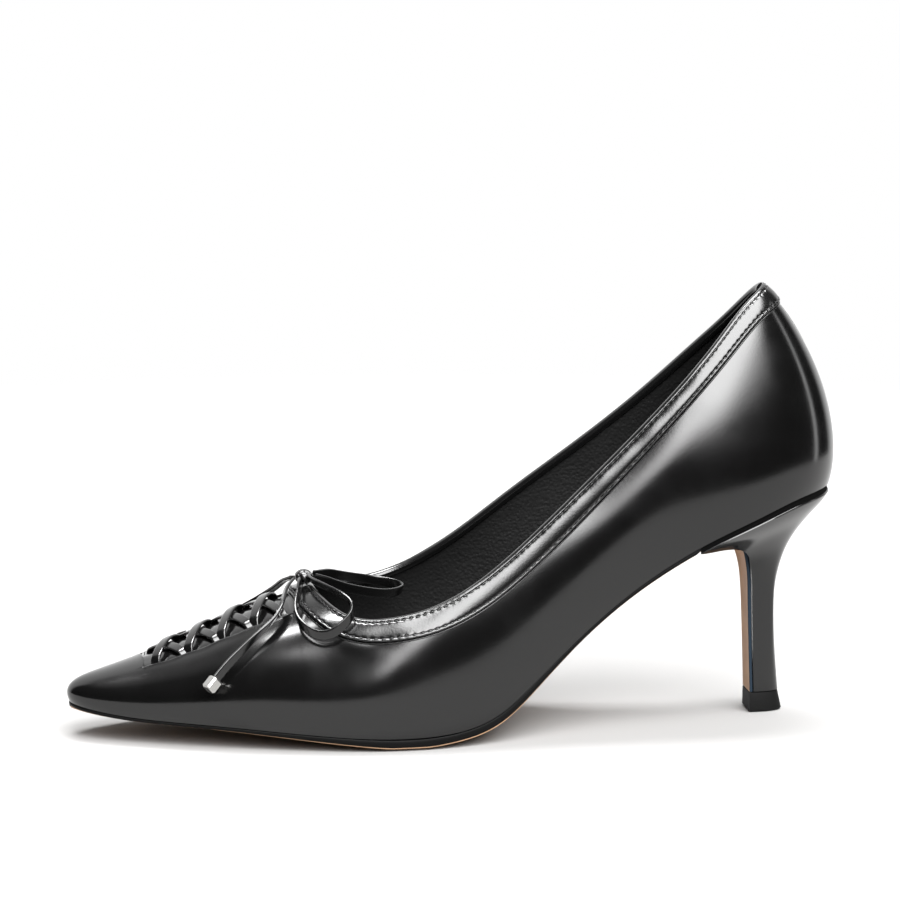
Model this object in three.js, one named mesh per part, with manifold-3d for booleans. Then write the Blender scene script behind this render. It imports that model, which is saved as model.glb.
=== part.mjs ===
// A left pump with a slim flared heel, a corset-laced vamp, a bow at the throat and a stitched
// band round its topline. Millimetres, +Z up, toe towards -X, the foot's outer side towards -Y.
// The upper is one skin worked out from the last: a feather line where the upper meets the sole,
// a ridge along the top of the closed last, and a wall curve between the two at every station.
import * as THREE from "three";
import Module from "manifold-3d";

const wasm = await Module();
wasm.setup();

// Driving sizes
const shoeLength = 238; // foremost point of the toe to the rearmost point of the heel curve
const ballWidth = 68.6; // across the feather line at the ball
const heelRise = 68.7; // feather line at the back of the heel, above the feather line at the ball
const toeSpring = 7.1; // feather line at the toe tip, above the feather line at the ball
const backHeight = 61; // topline at the back of the heel, above the feather line
const coneClearance = 2.8; // closed top of the last, above the topline at the back
const axisShift = 1.75; // the last's axis lies this far to the outer side of the shoe's middle

const upperWall = 1.8;
const clearance = 0.3; // between pieces that are glued or sewn together
const soleThickness = 3.2; // at the ball; thinner elsewhere as its table says
const soleInset = 0.3; // tread edge inside the feather line
const treadRound = 0.6; // how far the tread rises towards its edges
const insoleThickness = 2;
const insoleRest = 0.15; // its underside above the upper's lower edge
const bandThickness = 0.8;
const bandWidth = 6.6; // at the throat; elsewhere as its table says
const recessDepth = 1; // of the laced opening in the vamp
const flapThickness = 1; // sole leather down the front of the heel
const flapShare = 0.94; // of the width of the heel's front

const heelTipLength = 8.5; // front to back, at the top of the toplift
const heelTipWidth = 10.2;
const heelFrontAt = 0.8955; // front face of the heel, as a share of the shoe's length
const topliftHeight = 6.1;
const topliftFlare = 1.2; // how far its tread reaches behind its top

const laceWidth = 3;
const laceThickness = 1.1;
const laceLift = 0.4; // lowest side of a lace above the floor of the laced opening
const bowCordDiameter = 2.6; // the folded strap of the bow, as a plain cord
const tipLength = 4.2;
const tipWidth = 3.6;

// Heights that follow from them
const ballRest = soleThickness + clearance; // feather line at the ball, above the floor
const toplineHeight = ballRest + heelRise + backHeight;

// Outline of the feather line: half widths as shares of half the ball's width
const toeOverhang = 0.6; // the wall bulges this far in front of the feather line
const heelOverhang = 1.3;
const featherLength = shoeLength - toeOverhang - heelOverhang;
const outlineRows = [
  { at: 0, outer: 0, inner: 0 },
  { at: 0.017, outer: 0.21, inner: 0.204 },
  { at: 0.0595, outer: 0.379, inner: 0.373 },
  { at: 0.132, outer: 0.592, inner: 0.58 },
  { at: 0.23, outer: 0.834, inner: 0.805 },
  { at: 0.336, outer: 1.015, inner: 0.945 },
  { at: 0.438, outer: 1.061, inner: 0.939 },
  { at: 0.5315, outer: 0.959, inner: 0.775 },
  { at: 0.6335, outer: 0.805, inner: 0.571 },
  { at: 0.744, outer: 0.72, inner: 0.536 },
  { at: 0.859, outer: 0.726, inner: 0.647 },
  { at: 0.94, outer: 0.6, inner: 0.577 },
  { at: 0.982, outer: 0.362, inner: 0.359 },
  { at: 1, outer: 0, inner: 0 },
];

// Height of the feather line above the ball, as shares of the toe spring and of the heel's rise,
// and the sole's thickness as a share of its thickness at the ball
const bottomRows = [
  { at: 0, spring: 1, rise: 0, sole: 0.5 },
  { at: 0.055, spring: 0.72, rise: 0, sole: 0.47 },
  { at: 0.157, spring: 0.52, rise: 0, sole: 0.46 },
  { at: 0.272, spring: 0.29, rise: 0, sole: 0.66 },
  { at: 0.357, spring: 0.08, rise: 0, sole: 0.89 },
  { at: 0.421, spring: 0, rise: 0, sole: 1.07 },
  { at: 0.485, spring: 0, rise: 0.016, sole: 1 },
  { at: 0.54, spring: 0, rise: 0.079, sole: 0.95 },
  { at: 0.591, spring: 0, rise: 0.217, sole: 0.7 },
  { at: 0.642, spring: 0, rise: 0.377, sole: 0.53 },
  { at: 0.697, spring: 0, rise: 0.533, sole: 0.5 },
  { at: 0.761, spring: 0, rise: 0.683, sole: 0.5 },
  { at: 0.825, spring: 0, rise: 0.806, sole: 0.5 },
  { at: 0.889, spring: 0, rise: 0.904, sole: 0.5 },
  { at: 0.948, spring: 0, rise: 0.977, sole: 0.5 },
  { at: 1, spring: 0, rise: 1, sole: 0.5 },
];

// Top of the closed last: height above the floor as a share of the topline's height at the back,
// against the share of the shoe's length
const ridgeRows = [
  { at: 0.029, height: 0.139 },
  { at: 0.08, height: 0.166 },
  { at: 0.16, height: 0.217 },
  { at: 0.244, height: 0.2795 },
  { at: 0.315, height: 0.3235 },
  { at: 0.4, height: 0.423 },
  { at: 0.504, height: 0.5845 },
  { at: 0.63, height: 0.787 },
  { at: 0.756, height: 0.941 },
  { at: 0.873, height: 1 },
];

// Wall between feather line and ridge: how far it swells beyond the feather line, as a share of
// half the ball's width, how upright its side is, and how broad its crown is
const wallRows = [
  { at: 0, outer: 0.076, inner: 0.076, side: 0.62, crown: 0.6 },
  { at: 0.08, outer: 0.105, inner: 0.105, side: 0.62, crown: 0.62 },
  { at: 0.187, outer: 0.146, inner: 0.146, side: 0.62, crown: 0.62 },
  { at: 0.315, outer: 0.175, inner: 0.18, side: 0.6, crown: 0.56 },
  { at: 0.442, outer: 0.204, inner: 0.22, side: 0.52, crown: 0.5 },
  { at: 0.591, outer: 0.19, inner: 0.4, side: 0.5, crown: 0.5 },
  { at: 0.7, outer: 0.2, inner: 0.4, side: 0.46, crown: 0.48 },
  { at: 0.8, outer: 0.205, inner: 0.26, side: 0.43, crown: 0.45 },
  { at: 0.91, outer: 0.205, inner: 0.21, side: 0.4, crown: 0.42 },
  { at: 1, outer: 0.222, inner: 0.222, side: 0.384, crown: 0.405 },
];

// Topline seen from the side: height as a share of its height at the back
const throatAt = 0.315;
const toplineRows = [
  { at: throatAt, outer: 0.3303, inner: 0.3303 },
  { at: 0.336, outer: 0.304, inner: 0.309 },
  { at: 0.361, outer: 0.29, inner: 0.302 },
  { at: 0.403, outer: 0.294, inner: 0.305 },
  { at: 0.454, outer: 0.317, inner: 0.332 },
  { at: 0.513, outer: 0.369, inner: 0.393 },
  { at: 0.588, outer: 0.472, inner: 0.497 },
  { at: 0.672, outer: 0.606, inner: 0.61 },
  { at: 0.756, outer: 0.747, inner: 0.729 },
  { at: 0.832, outer: 0.886, inner: 0.853 },
  { at: 0.878, outer: 0.968, inner: 0.94 },
  { at: 0.901, outer: 0.996, inner: 0.996 },
];

// Width of the band round the topline, as a share of its width at the throat
const bandRows = [
  { at: 0.315, width: 1 },
  { at: 0.45, width: 1.06 },
  { at: 0.6, width: 1.02 },
  { at: 0.74, width: 0.86 },
  { at: 0.85, width: 0.86 },
  { at: 0.9, width: 1 },
];

// The wall's section planes fan out round the toe and the heel: each stands on the feather line
// and meets the ridge at a station of its own
const toeFan = { reach: 30, shift: 8 };
const heelFan = { reach: 71, shift: 28.5 };

// Laced opening: its front and back ends, how far up the wall its edges run, and its lace slits
const opening = { from: 0.0945, to: 0.2845, edgeFront: 0.71, edgeBack: 0.75 };
const slitCount = 5;
const firstSlitAt = 0.107;
const lastSlitAt = 0.2745;

// Flare of the heel from its tip (0) to the seat (1): share of the way out to the seat's edge
const breastDepth = 13; // the seat's front edge curves back this far at its middle
const breastAt = 0.806; // front corners of the seat
const flareRows = [
  { up: 0, back: 0, front: 0, side: 0 },
  { up: 0.2, back: -0.07, front: 0.015, side: -0.01 },
  { up: 0.4, back: -0.11, front: 0.03, side: 0 },
  { up: 0.56, back: -0.085, front: 0.045, side: 0.035 },
  { up: 0.66, back: 0.01, front: 0.07, side: 0.1 },
  { up: 0.74, back: 0.14, front: 0.12, side: 0.2 },
  { up: 0.81, back: 0.32, front: 0.2, side: 0.36 },
  { up: 0.87, back: 0.53, front: 0.37, side: 0.54 },
  { up: 0.93, back: 0.77, front: 0.66, side: 0.77 },
  { up: 0.97, back: 0.92, front: 0.88, side: 0.91 },
  { up: 1, back: 1, front: 1, side: 1 },
];

// Materials
const glossBlack = new THREE.MeshStandardMaterial({ color: 0x0d0d0e, roughness: 0.2, metalness: 0 });
const laceBlack = new THREE.MeshStandardMaterial({ color: 0x111113, roughness: 0.28, metalness: 0 });
const liningBlack = new THREE.MeshStandardMaterial({ color: 0x121212, roughness: 0.6, metalness: 0 });
const soleTan = new THREE.MeshStandardMaterial({ color: 0xc09a78, roughness: 0.55, metalness: 0 });
const rubberBlack = new THREE.MeshStandardMaterial({ color: 0x161616, roughness: 0.7, metalness: 0 });
const tipSilver = new THREE.MeshStandardMaterial({ color: 0xd5d5d8, roughness: 0.15, metalness: 1 });

// Natural cubic spline through points, straight beyond its ends
function spline(xs, ys) {
  const n = xs.length;
  const bend = new Array(n).fill(0);
  const work = new Array(n).fill(0);
  for (let i = 1; i < n - 1; i++) {
    const a = xs[i] - xs[i - 1];
    const b = xs[i + 1] - xs[i];
    const pivot = 2 * (a + b) - a * work[i - 1];
    const rise = 6 * ((ys[i + 1] - ys[i]) / b - (ys[i] - ys[i - 1]) / a);
    work[i] = b / pivot;
    bend[i] = (rise - a * bend[i - 1]) / pivot;
  }
  for (let i = n - 2; i > 0; i--) bend[i] -= work[i] * bend[i + 1];
  const slopeAt = (i, j) => {
    const h = xs[j] - xs[i];
    return (ys[j] - ys[i]) / h - (h * (2 * bend[i] + bend[j])) / 6;
  };
  const firstSlope = slopeAt(0, 1);
  const h = xs[n - 1] - xs[n - 2];
  const lastSlope = (ys[n - 1] - ys[n - 2]) / h + (h * (bend[n - 2] + 2 * bend[n - 1])) / 6;
  return (x) => {
    if (x <= xs[0]) return ys[0] + firstSlope * (x - xs[0]);
    if (x >= xs[n - 1]) return ys[n - 1] + lastSlope * (x - xs[n - 1]);
    let i = 0;
    while (x > xs[i + 1]) i++;
    const w = xs[i + 1] - xs[i];
    const a = (xs[i + 1] - x) / w;
    const b = (x - xs[i]) / w;
    const sag = ((a * a * a - a) * bend[i] + (b * b * b - b) * bend[i + 1]) * ((w * w) / 6);
    return a * ys[i] + b * ys[i + 1] + sag;
  };
}

// A station u runs from 0 at the toe to 1 at the heel, slowly near both ends, so that outlines
// given against it close with round ends
const sweepOf = (share) => Math.acos(1 - 2 * THREE.MathUtils.clamp(share, 0, 1)) / Math.PI;
const shareOf = (u) => (1 - Math.cos(Math.PI * u)) / 2;
const along = (rows, key) =>
  spline(rows.map((row) => row.at), rows.map((row) => row[key]));
const swept = (rows, key) =>
  spline(rows.map((row) => sweepOf(row.at)), rows.map((row) => row[key]));

const outline = { outer: swept(outlineRows, "outer"), inner: swept(outlineRows, "inner") };
const spring = along(bottomRows, "spring");
const rise = along(bottomRows, "rise");
const soleShare = along(bottomRows, "sole");
const ridgeShare = along(ridgeRows, "height");
const swell = { outer: swept(wallRows, "outer"), inner: swept(wallRows, "inner") };
const sideShare = swept(wallRows, "side");
const crownShare = swept(wallRows, "crown");
const topline = { outer: along(toplineRows, "outer"), inner: along(toplineRows, "inner") };
const bandShare = along(bandRows, "width");

// Lengths along the shoe are measured from the toe's foremost point
const featherAt = (u) => toeOverhang + featherLength * shareOf(u);
const stationOf = (x) => sweepOf((x - toeOverhang) / featherLength);
const lastRidge = coneClearance + toplineHeight;
const signOf = (side) => (side === "outer" ? -1 : 1);
const halfWidth = (u, side) => (outline[side](u) * ballWidth) / 2;

function featherHeight(x) {
  const share = (x - toeOverhang) / featherLength;
  return ballRest + toeSpring * spring(share) + heelRise * rise(share);
}

function ridgeStation(x) {
  const toe = THREE.MathUtils.clamp(1 - (x - toeOverhang) / toeFan.reach, 0, 1);
  const heelStart = shoeLength - heelOverhang - heelFan.reach;
  const heel = THREE.MathUtils.clamp((x - heelStart) / heelFan.reach, 0, 1);
  return x + toeFan.shift * toe * toe - heelFan.shift * heel * heel;
}

const ridgeHeight = (x) => ridgeShare(x / shoeLength) * lastRidge;
const toplineAt = (x, side) => topline[side](x / shoeLength) * toplineHeight;

// A point of the upper's outer face: t runs up the wall from the feather line to the ridge
function wallPoint(u, t, side) {
  const sign = signOf(side);
  const x = featherAt(u);
  const foot = new THREE.Vector2(x, sign * halfWidth(u, side));
  const ridgeX = ridgeStation(x);
  const toRidge = new THREE.Vector2(ridgeX - foot.x, -foot.y);
  const reach = toRidge.length();
  toRidge.normalize();
  const footZ = featherHeight(x);
  const ridgeZ = ridgeHeight(ridgeX);
  const slope = (ridgeHeight(ridgeX + 0.5) - ridgeHeight(ridgeX - 0.5)) * toRidge.x;
  const bulge = (swell[side](u) * ballWidth) / 2;
  const crown = crownShare(u) * reach;
  const across = new THREE.CubicBezierCurve(
    new THREE.Vector2(0, footZ),
    new THREE.Vector2(-bulge, footZ + sideShare(u) * (ridgeZ - footZ)),
    new THREE.Vector2(reach - crown, ridgeZ - crown * slope),
    new THREE.Vector2(reach, ridgeZ),
  ).getPoint(t);
  return new THREE.Vector3(foot.x + toRidge.x * across.x, foot.y + toRidge.y * across.x, across.y);
}

function wallFrame(u, t, side) {
  const step = 1e-3;
  const u0 = Math.max(u - step, 0);
  const u1 = Math.min(u + step, 1);
  const t0 = Math.max(t - step, 0);
  const t1 = Math.min(t + step, 1);
  const alongU = wallPoint(u1, t, side).sub(wallPoint(u0, t, side)).divideScalar(u1 - u0);
  const alongT = wallPoint(u, t1, side).sub(wallPoint(u, t0, side)).divideScalar(t1 - t0);
  const normal = alongU.clone().cross(alongT).multiplyScalar(side === "outer" ? 1 : -1).normalize();
  return { alongU, alongT, normal };
}

// How far up the wall the topline lies
function toplineOn(u, side) {
  let low = 0.05;
  let high = 1;
  for (let i = 0; i < 40; i++) {
    const middle = (low + high) / 2;
    const point = wallPoint(u, middle, side);
    if (point.z > toplineAt(point.x, side)) high = middle;
    else low = middle;
  }
  return (low + high) / 2;
}

// Walks over the wall from one place in a direction, keeping to the surface
function walk(place, direction, distance, steps) {
  let { u, t } = place;
  const heading = direction.clone();
  for (let i = 0; i < steps; i++) {
    const { alongU, alongT, normal } = wallFrame(u, t, place.side);
    heading.addScaledVector(normal, -heading.dot(normal)).normalize();
    const uu = alongU.dot(alongU);
    const ut = alongU.dot(alongT);
    const tt = alongT.dot(alongT);
    const hu = heading.dot(alongU);
    const ht = heading.dot(alongT);
    const size = uu * tt - ut * ut;
    u = THREE.MathUtils.clamp(u + ((hu * tt - ht * ut) / size) * (distance / steps), 0, 1);
    t = THREE.MathUtils.clamp(t + ((ht * uu - hu * ut) / size) * (distance / steps), 0, 1);
  }
  return { u, t, side: place.side };
}

// A skin is an open sheet of welded points with normals, which thicken() turns into a solid
class Skin {
  points = [];
  normals = [];
  faces = [];
  #known = new Map();

  add(point, normal) {
    const key = point.toArray().map((v) => Math.round(v * 1e4)).join();
    if (!this.#known.has(key)) {
      this.#known.set(key, this.points.length);
      this.points.push(point);
      this.normals.push(new THREE.Vector3());
    }
    const index = this.#known.get(key);
    this.normals[index].add(normal);
    return index;
  }

  face(a, b, c) {
    if (a !== b && b !== c && c !== a) this.faces.push([a, b, c]);
  }

  // grid[i][j] are indices; the sheet faces up when i runs along +X and j along +Y
  quads(grid, flip = false) {
    for (let i = 0; i + 1 < grid.length; i++) {
      for (let j = 0; j + 1 < grid[i].length; j++) {
        const [a, b, c, d] = [grid[i][j], grid[i + 1][j], grid[i + 1][j + 1], grid[i][j + 1]];
        if (flip) {
          this.face(a, c, b);
          this.face(a, d, c);
        } else {
          this.face(a, b, c);
          this.face(a, c, d);
        }
      }
    }
  }

  wall(columns, side) {
    const grid = columns.map((column) =>
      column.map(({ u, t }) => this.add(wallPoint(u, t, side), wallFrame(u, t, side).normal)),
    );
    this.quads(grid, side === "inner");
  }
}

// The solid between two offsets of a skin, the lower one first
function thicken(skin, low, high) {
  const count = skin.points.length;
  const positions = [];
  for (const offset of [high, low]) {
    skin.points.forEach((point, i) => {
      const normal = skin.normals[i].clone().normalize();
      positions.push(...point.clone().addScaledVector(normal, offset).toArray());
    });
  }
  const faces = [];
  const edges = new Map();
  for (const [a, b, c] of skin.faces) {
    faces.push(a, b, c, a + count, c + count, b + count);
    for (const [p, q] of [[a, b], [b, c], [c, a]]) {
      if (!edges.delete(q + "," + p)) edges.set(p + "," + q, [p, q]);
    }
  }
  for (const [p, q] of edges.values()) {
    faces.push(q, p, p + count, q, p + count, q + count);
  }
  return solidOf(positions, faces);
}

function solidOf(positions, faces) {
  const mesh = new wasm.Mesh({
    numProp: 3,
    vertProperties: new Float32Array(positions),
    triVerts: new Uint32Array(faces),
  });
  mesh.merge();
  return new wasm.Manifold(mesh);
}

// A closed solid from rings of equal length, capped by fans round each end ring's middle
function loft(rings) {
  const positions = rings.flat().flatMap((point) => point.toArray());
  const faces = [];
  const size = rings[0].length;
  for (let k = 0; k + 1 < rings.length; k++) {
    for (let i = 0; i < size; i++) {
      const a = k * size + i;
      const b = k * size + ((i + 1) % size);
      faces.push(a, b, b + size, a, b + size, a + size);
    }
  }
  [rings[0], rings.at(-1)].forEach((ring, end) => {
    const middle = positions.length / 3;
    const centre = ring.reduce((sum, point) => sum.add(point), new THREE.Vector3());
    positions.push(...centre.divideScalar(size).toArray());
    const first = end ? (rings.length - 1) * size : 0;
    for (let i = 0; i < size; i++) {
      const a = first + i;
      const b = first + ((i + 1) % size);
      if (end) faces.push(a, b, middle);
      else faces.push(b, a, middle);
    }
  });
  return solidOf(positions, faces);
}

const range = (count, value) => Array.from({ length: count + 1 }, (_, i) => value(i / count, i));

// Columns of the upper: up to the ridge in front of the band, and up to the band's lower edge
// behind, where each column goes on up through the band to the topline
const wallSteps = 8;
const bandSteps = 2;
const throat = stationOf(throatAt * shoeLength);
const ease = (q) => q * q * (2.1 - 1.1 * q);

function bandColumns(side, count = 24) {
  const places = range(count, (q) => {
    const u = throat + (1 - throat) * ease(q);
    return { u, t: q === 0 ? 1 : toplineOn(u, side), side };
  });
  const points = places.map(({ u, t }) => wallPoint(u, t, side));
  const mirrored = (point) => point.clone().multiply(new THREE.Vector3(1, -1, 1));
  return places.map((place, i) => {
    const before = points[i - 1] ?? mirrored(points[1]);
    const after = points[i + 1] ?? mirrored(points[count - 1]);
    const tangent = after.clone().sub(before).normalize();
    const { normal } = wallFrame(place.u, place.t, side);
    const down = tangent.cross(normal).multiplyScalar(side === "outer" ? 1 : -1);
    if (i === 0 || i === count) down.y = 0;
    const width = bandWidth * bandShare(points[i].x / shoeLength);
    return range(bandSteps, (q) => {
      const at = walk(place, down, width * (1 - q), 12);
      if (i === 0) at.t = 1;
      if (i === count) at.u = 1;
      return q === 1 ? place : at;
    });
  });
}

const band = { outer: bandColumns("outer"), inner: bandColumns("inner") };
const bandFront = band.outer[0][0].u;
for (const i of [0, band.outer.length - 1]) {
  band.inner[i] = band.outer[i].map((place) => ({ ...place, side: "inner" }));
}

function openingEdge(u) {
  const share = featherAt(u) / shoeLength;
  const q = THREE.MathUtils.clamp((share - opening.from) / (opening.to - opening.from), 0, 1);
  return THREE.MathUtils.lerp(opening.edgeFront, opening.edgeBack, q);
}

function upperShape() {
  const skin = new Skin();
  for (const side of ["outer", "inner"]) {
    const toe = range(17, (q) => range(wallSteps, (t) => ({ u: bandFront * q, t })));
    const back = band[side].map((column) => {
      const { u, t } = column[0];
      return range(wallSteps, (q) => ({ u, t: t * q }));
    });
    skin.wall([...toe, ...back.slice(1)], side);
    skin.wall(band[side], side);
  }
  const recess = new Skin();
  for (const side of ["outer", "inner"]) {
    const columns = range(12, (q) => {
      const u = stationOf(shoeLength * THREE.MathUtils.lerp(opening.from, opening.to, q));
      return range(4, (r) => ({ u, t: THREE.MathUtils.lerp(openingEdge(u), 1, r) }));
    });
    recess.wall(columns, side);
  }
  return thicken(skin, -upperWall, 0).subtract(thicken(recess, -recessDepth, 2));
}

function bandShape() {
  const skin = new Skin();
  for (const side of ["outer", "inner"]) skin.wall(band[side], side);
  return thicken(skin, clearance, clearance + bandThickness);
}

// A place on the bottom: v runs across from -1 on the outer side to 1 on the inner side
function bottomPoint(u, v, inset = 0) {
  const side = v < 0 ? "outer" : "inner";
  const step = 1e-3;
  const edge = (w) => new THREE.Vector2(featherAt(w), Math.sign(v || 1) * halfWidth(w, side));
  const point = edge(u);
  if (inset) {
    const tangent = edge(Math.min(u + step, 1)).sub(edge(Math.max(u - step, 0))).normalize();
    const outward = new THREE.Vector2(-tangent.y, tangent.x).multiplyScalar(Math.sign(v || 1));
    point.addScaledVector(outward, -inset);
  }
  return new THREE.Vector2(point.x, point.y * Math.abs(v));
}

// Straight across the shoe from the outer edge to the inner one
function crossing(u, steps, inset, height) {
  const outerEdge = bottomPoint(u, -1, inset);
  const innerEdge = bottomPoint(u, 1, inset);
  return range(steps, (q) => {
    const x = THREE.MathUtils.lerp(outerEdge.x, innerEdge.x, q);
    return new THREE.Vector3(x, THREE.MathUtils.lerp(outerEdge.y, innerEdge.y, q), height(x));
  });
}

// A slab with the same grid on its upper and its lower face
function slab(upperGrid, lowerGrid) {
  const across = upperGrid[0].length;
  const count = upperGrid.length * across;
  const positions = [...upperGrid, ...lowerGrid].flat().flatMap((point) => point.toArray());
  const faces = [];
  const at = (i, j) => i * across + j;
  const wallBetween = (a, b) => faces.push(b, a, a + count, b, a + count, b + count);
  const last = upperGrid.length - 1;
  for (let i = 0; i < last; i++) {
    for (let j = 0; j + 1 < across; j++) {
      const [a, b, c, d] = [at(i, j), at(i + 1, j), at(i + 1, j + 1), at(i, j + 1)];
      faces.push(a, b, c, a, c, d, a + count, c + count, b + count, a + count, d + count, c + count);
    }
    wallBetween(at(i, 0), at(i + 1, 0));
    wallBetween(at(i + 1, across - 1), at(i, across - 1));
  }
  for (let j = 0; j + 1 < across; j++) {
    wallBetween(at(0, j + 1), at(0, j));
    wallBetween(at(last, j), at(last, j + 1));
  }
  return solidOf(positions, faces);
}

// Height of a line that keeps a distance below the feather line, measured square to it
function belowFeather(distance) {
  return (x) => {
    const slope = featherHeight(x + 0.5) - featherHeight(x - 0.5);
    return featherHeight(x) - distance * Math.hypot(1, slope);
  };
}

function insoleShape() {
  const inset = upperWall + clearance;
  const grid = (height, more) =>
    range(48, (q) => crossing(0.004 + 0.992 * q, 4, inset + more, height));
  return slab(grid(belowFeather(-insoleRest - insoleThickness), 0.3), grid(belowFeather(-insoleRest), 0));
}

const breastSteps = 12;

// Front edge of the heel seat: forward at both sides, curved back in the middle
function breastLine(v) {
  const corner = shoeLength * breastAt;
  return corner + breastDepth * (1 - Math.abs(v) ** 2.4);
}

const heelTop = belowFeather(clearance);
const heelFront = shoeLength * heelFrontAt;

function seatPoint(v) {
  const x = breastLine(v);
  const { y } = bottomPoint(stationOf(x), v);
  return new THREE.Vector3(x, y, heelTop(x));
}

const flare = Object.fromEntries(
  ["back", "front", "side"].map((key) => [
    key,
    spline(flareRows.map((row) => row.up), flareRows.map((row) => row[key])),
  ]),
);

// Outline of the heel's tip: flat in front, round behind; share runs from one front corner round
// the back to the other
function tipPoint(share, front, length, width) {
  const angle = Math.PI * (share - 0.5);
  const round = Math.cos(angle) ** 0.7;
  const y = (Math.sign(share - 0.5) * Math.abs(Math.sin(angle)) ** 0.8 * width) / 2;
  return new THREE.Vector2(front + length * round, y);
}

// A point of the heel's surface between its tip and the seat's edge
function flarePoint(tip, seat, up, frontShare) {
  const out = THREE.MathUtils.lerp(flare.back(up), flare.front(up), frontShare);
  const x = THREE.MathUtils.lerp(tip.x, seat.x, out);
  const y = THREE.MathUtils.lerp(tip.y, seat.y, flare.side(up));
  return new THREE.Vector3(x, y, THREE.MathUtils.lerp(topliftHeight + clearance, heelTop(x), up));
}

function breastPoint(v, up) {
  const tip = new THREE.Vector2(heelFront, (v * heelTipWidth) / 2);
  return flarePoint(tip, seatPoint(v), up, 1);
}

function sidePoint(share, up) {
  const side = share < 0.5 ? "outer" : "inner";
  const corner = stationOf(shoeLength * breastAt);
  const u = 1 - (1 - corner) * Math.abs(2 * share - 1);
  const edge = new THREE.Vector2(featherAt(u), signOf(side) * halfWidth(u, side));
  const seat = new THREE.Vector3(edge.x, edge.y, heelTop(edge.x));
  const frontShare = THREE.MathUtils.smoothstep(Math.abs(2 * share - 1), 0.35, 1);
  return flarePoint(tipPoint(share, heelFront, heelTipLength, heelTipWidth), seat, up, frontShare);
}

function heelShape() {
  const ups = [0, 0.1, 0.25, 0.4, 0.52, 0.62, 0.7, 0.77, 0.83, 0.88, 0.92, 0.95, 0.975, 1, 1.06];
  const rings = ups.map((up) => [
    ...range(24, (share) => sidePoint(share, up)),
    ...range(breastSteps, (q) => breastPoint(1 - 2 * q, up)).slice(1, -1),
  ]);
  // Everything below the seat, which cuts the loft's top to the curve of the upper's underside
  const stations = range(16, (q) => THREE.MathUtils.lerp(shoeLength * 0.74, shoeLength * 1.02, q));
  const acrossShoe = (x, z) => [-ballWidth, ballWidth].map((y) => new THREE.Vector3(x, y, z));
  const seat = stations.map((x) => acrossShoe(x, heelTop(x)));
  const floor = stations.map((x) => acrossShoe(x, 0));
  return loft(rings).intersect(slab(seat, floor));
}

function topliftShape() {
  const flapDepth = clearance + flapThickness;
  const front = heelFront - flapDepth;
  const ring = (z, flareOut) =>
    range(20, (share) => {
      const length = heelTipLength + flapDepth + flareOut;
      const { x, y } = tipPoint(share, front, length, heelTipWidth + flareOut / 2);
      return new THREE.Vector3(x, y, z);
    });
  return loft([ring(0, topliftFlare), ring(topliftHeight, 0)]);
}

// The sole leather runs on from the shank down the front of the heel as a thin flap
function outsoleShape() {
  const tread = (x, v) => {
    const share = (x - toeOverhang) / featherLength;
    const depth = clearance + soleShare(share) * soleThickness;
    return Math.max(0, belowFeather(depth)(x)) + treadRound * v ** 6;
  };
  const soleRows = (height, inset, short) => {
    const corner = stationOf(breastLine(1) - short);
    return range(46, (p) =>
      range(breastSteps, (q) => {
        const v = 2 * q - 1;
        const bow = stationOf(breastLine(v) - short) - corner;
        const point = bottomPoint(corner * (0.006 + 0.994 * p) + bow * p ** 8, v, inset);
        return new THREE.Vector3(point.x, point.y, height(point.x, v));
      }),
    );
  };
  const flapRows = (offset) =>
    range(12, (q) => {
      const up = 0.99 * (1 - q ** 1.6);
      const run = breastPoint(0, up + 0.005).sub(breastPoint(0, up - 0.005));
      const outward = new THREE.Vector3(-run.z, 0, run.x).normalize();
      return range(breastSteps, (r) =>
        breastPoint((2 * r - 1) * flapShare, up).addScaledVector(outward, offset(q)),
      );
    });
  // The flap stands off most at the seat, where the heel's front is hollowest
  const inner = (q) => clearance * (1 + 1.6 * (1 - q));
  const backThickness = soleShare(breastAt) * soleThickness;
  const outer = (q) =>
    inner(q) + THREE.MathUtils.lerp(backThickness, flapThickness, Math.sqrt(q));
  return slab(
    [...soleRows(heelTop, 0, clearance), ...flapRows(inner)],
    [...soleRows(tread, soleInset, backThickness), ...flapRows(outer)],
  );
}

// A flat lace over the vamp, from one place on the wall to another; q runs from 0 to 1
function lacePath(from, to, lift) {
  return (q) => {
    const v = THREE.MathUtils.lerp(from.v, to.v, q);
    const x = THREE.MathUtils.lerp(from.x, to.x, q);
    const u = stationOf(x);
    const t = 1 - (1 - openingEdge(u) - 0.05) * Math.abs(v);
    const side = v < 0 ? "outer" : "inner";
    const { normal } = wallFrame(u, t, side);
    const raised = lift * (1 - v * v);
    return { point: wallPoint(u, t, side).addScaledVector(normal, raised), normal };
  };
}

function laceStrap(path, low) {
  const skin = new Skin();
  const cells = range(12, (q) => {
    const { point, normal } = path(q);
    const ahead = path(Math.min(q + 0.01, 1)).point;
    const heading = ahead.sub(path(Math.max(q - 0.01, 0)).point);
    const sideways = normal.clone().cross(heading).normalize();
    return [-0.5, 0.5].map((w) =>
      skin.add(point.clone().addScaledVector(sideways, w * laceWidth), normal),
    );
  });
  skin.quads(cells);
  return thicken(skin, low, low + laceThickness);
}

function lacesShape() {
  const slits = range(slitCount - 1, (q) => shoeLength * THREE.MathUtils.lerp(firstSlitAt, lastSlitAt, q));
  const low = laceLift - recessDepth;
  let laces = null;
  for (let i = 0; i + 1 < slitCount; i++) {
    for (const sign of [-1, 1]) {
      const from = { v: sign, x: slits[i] };
      const to = { v: -sign, x: slits[i + 1] };
      const strap = laceStrap(lacePath(from, to, sign < 0 ? laceThickness * 0.8 : 0), low);
      laces = laces ? laces.add(strap) : strap;
    }
  }
  return laces;
}

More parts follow.
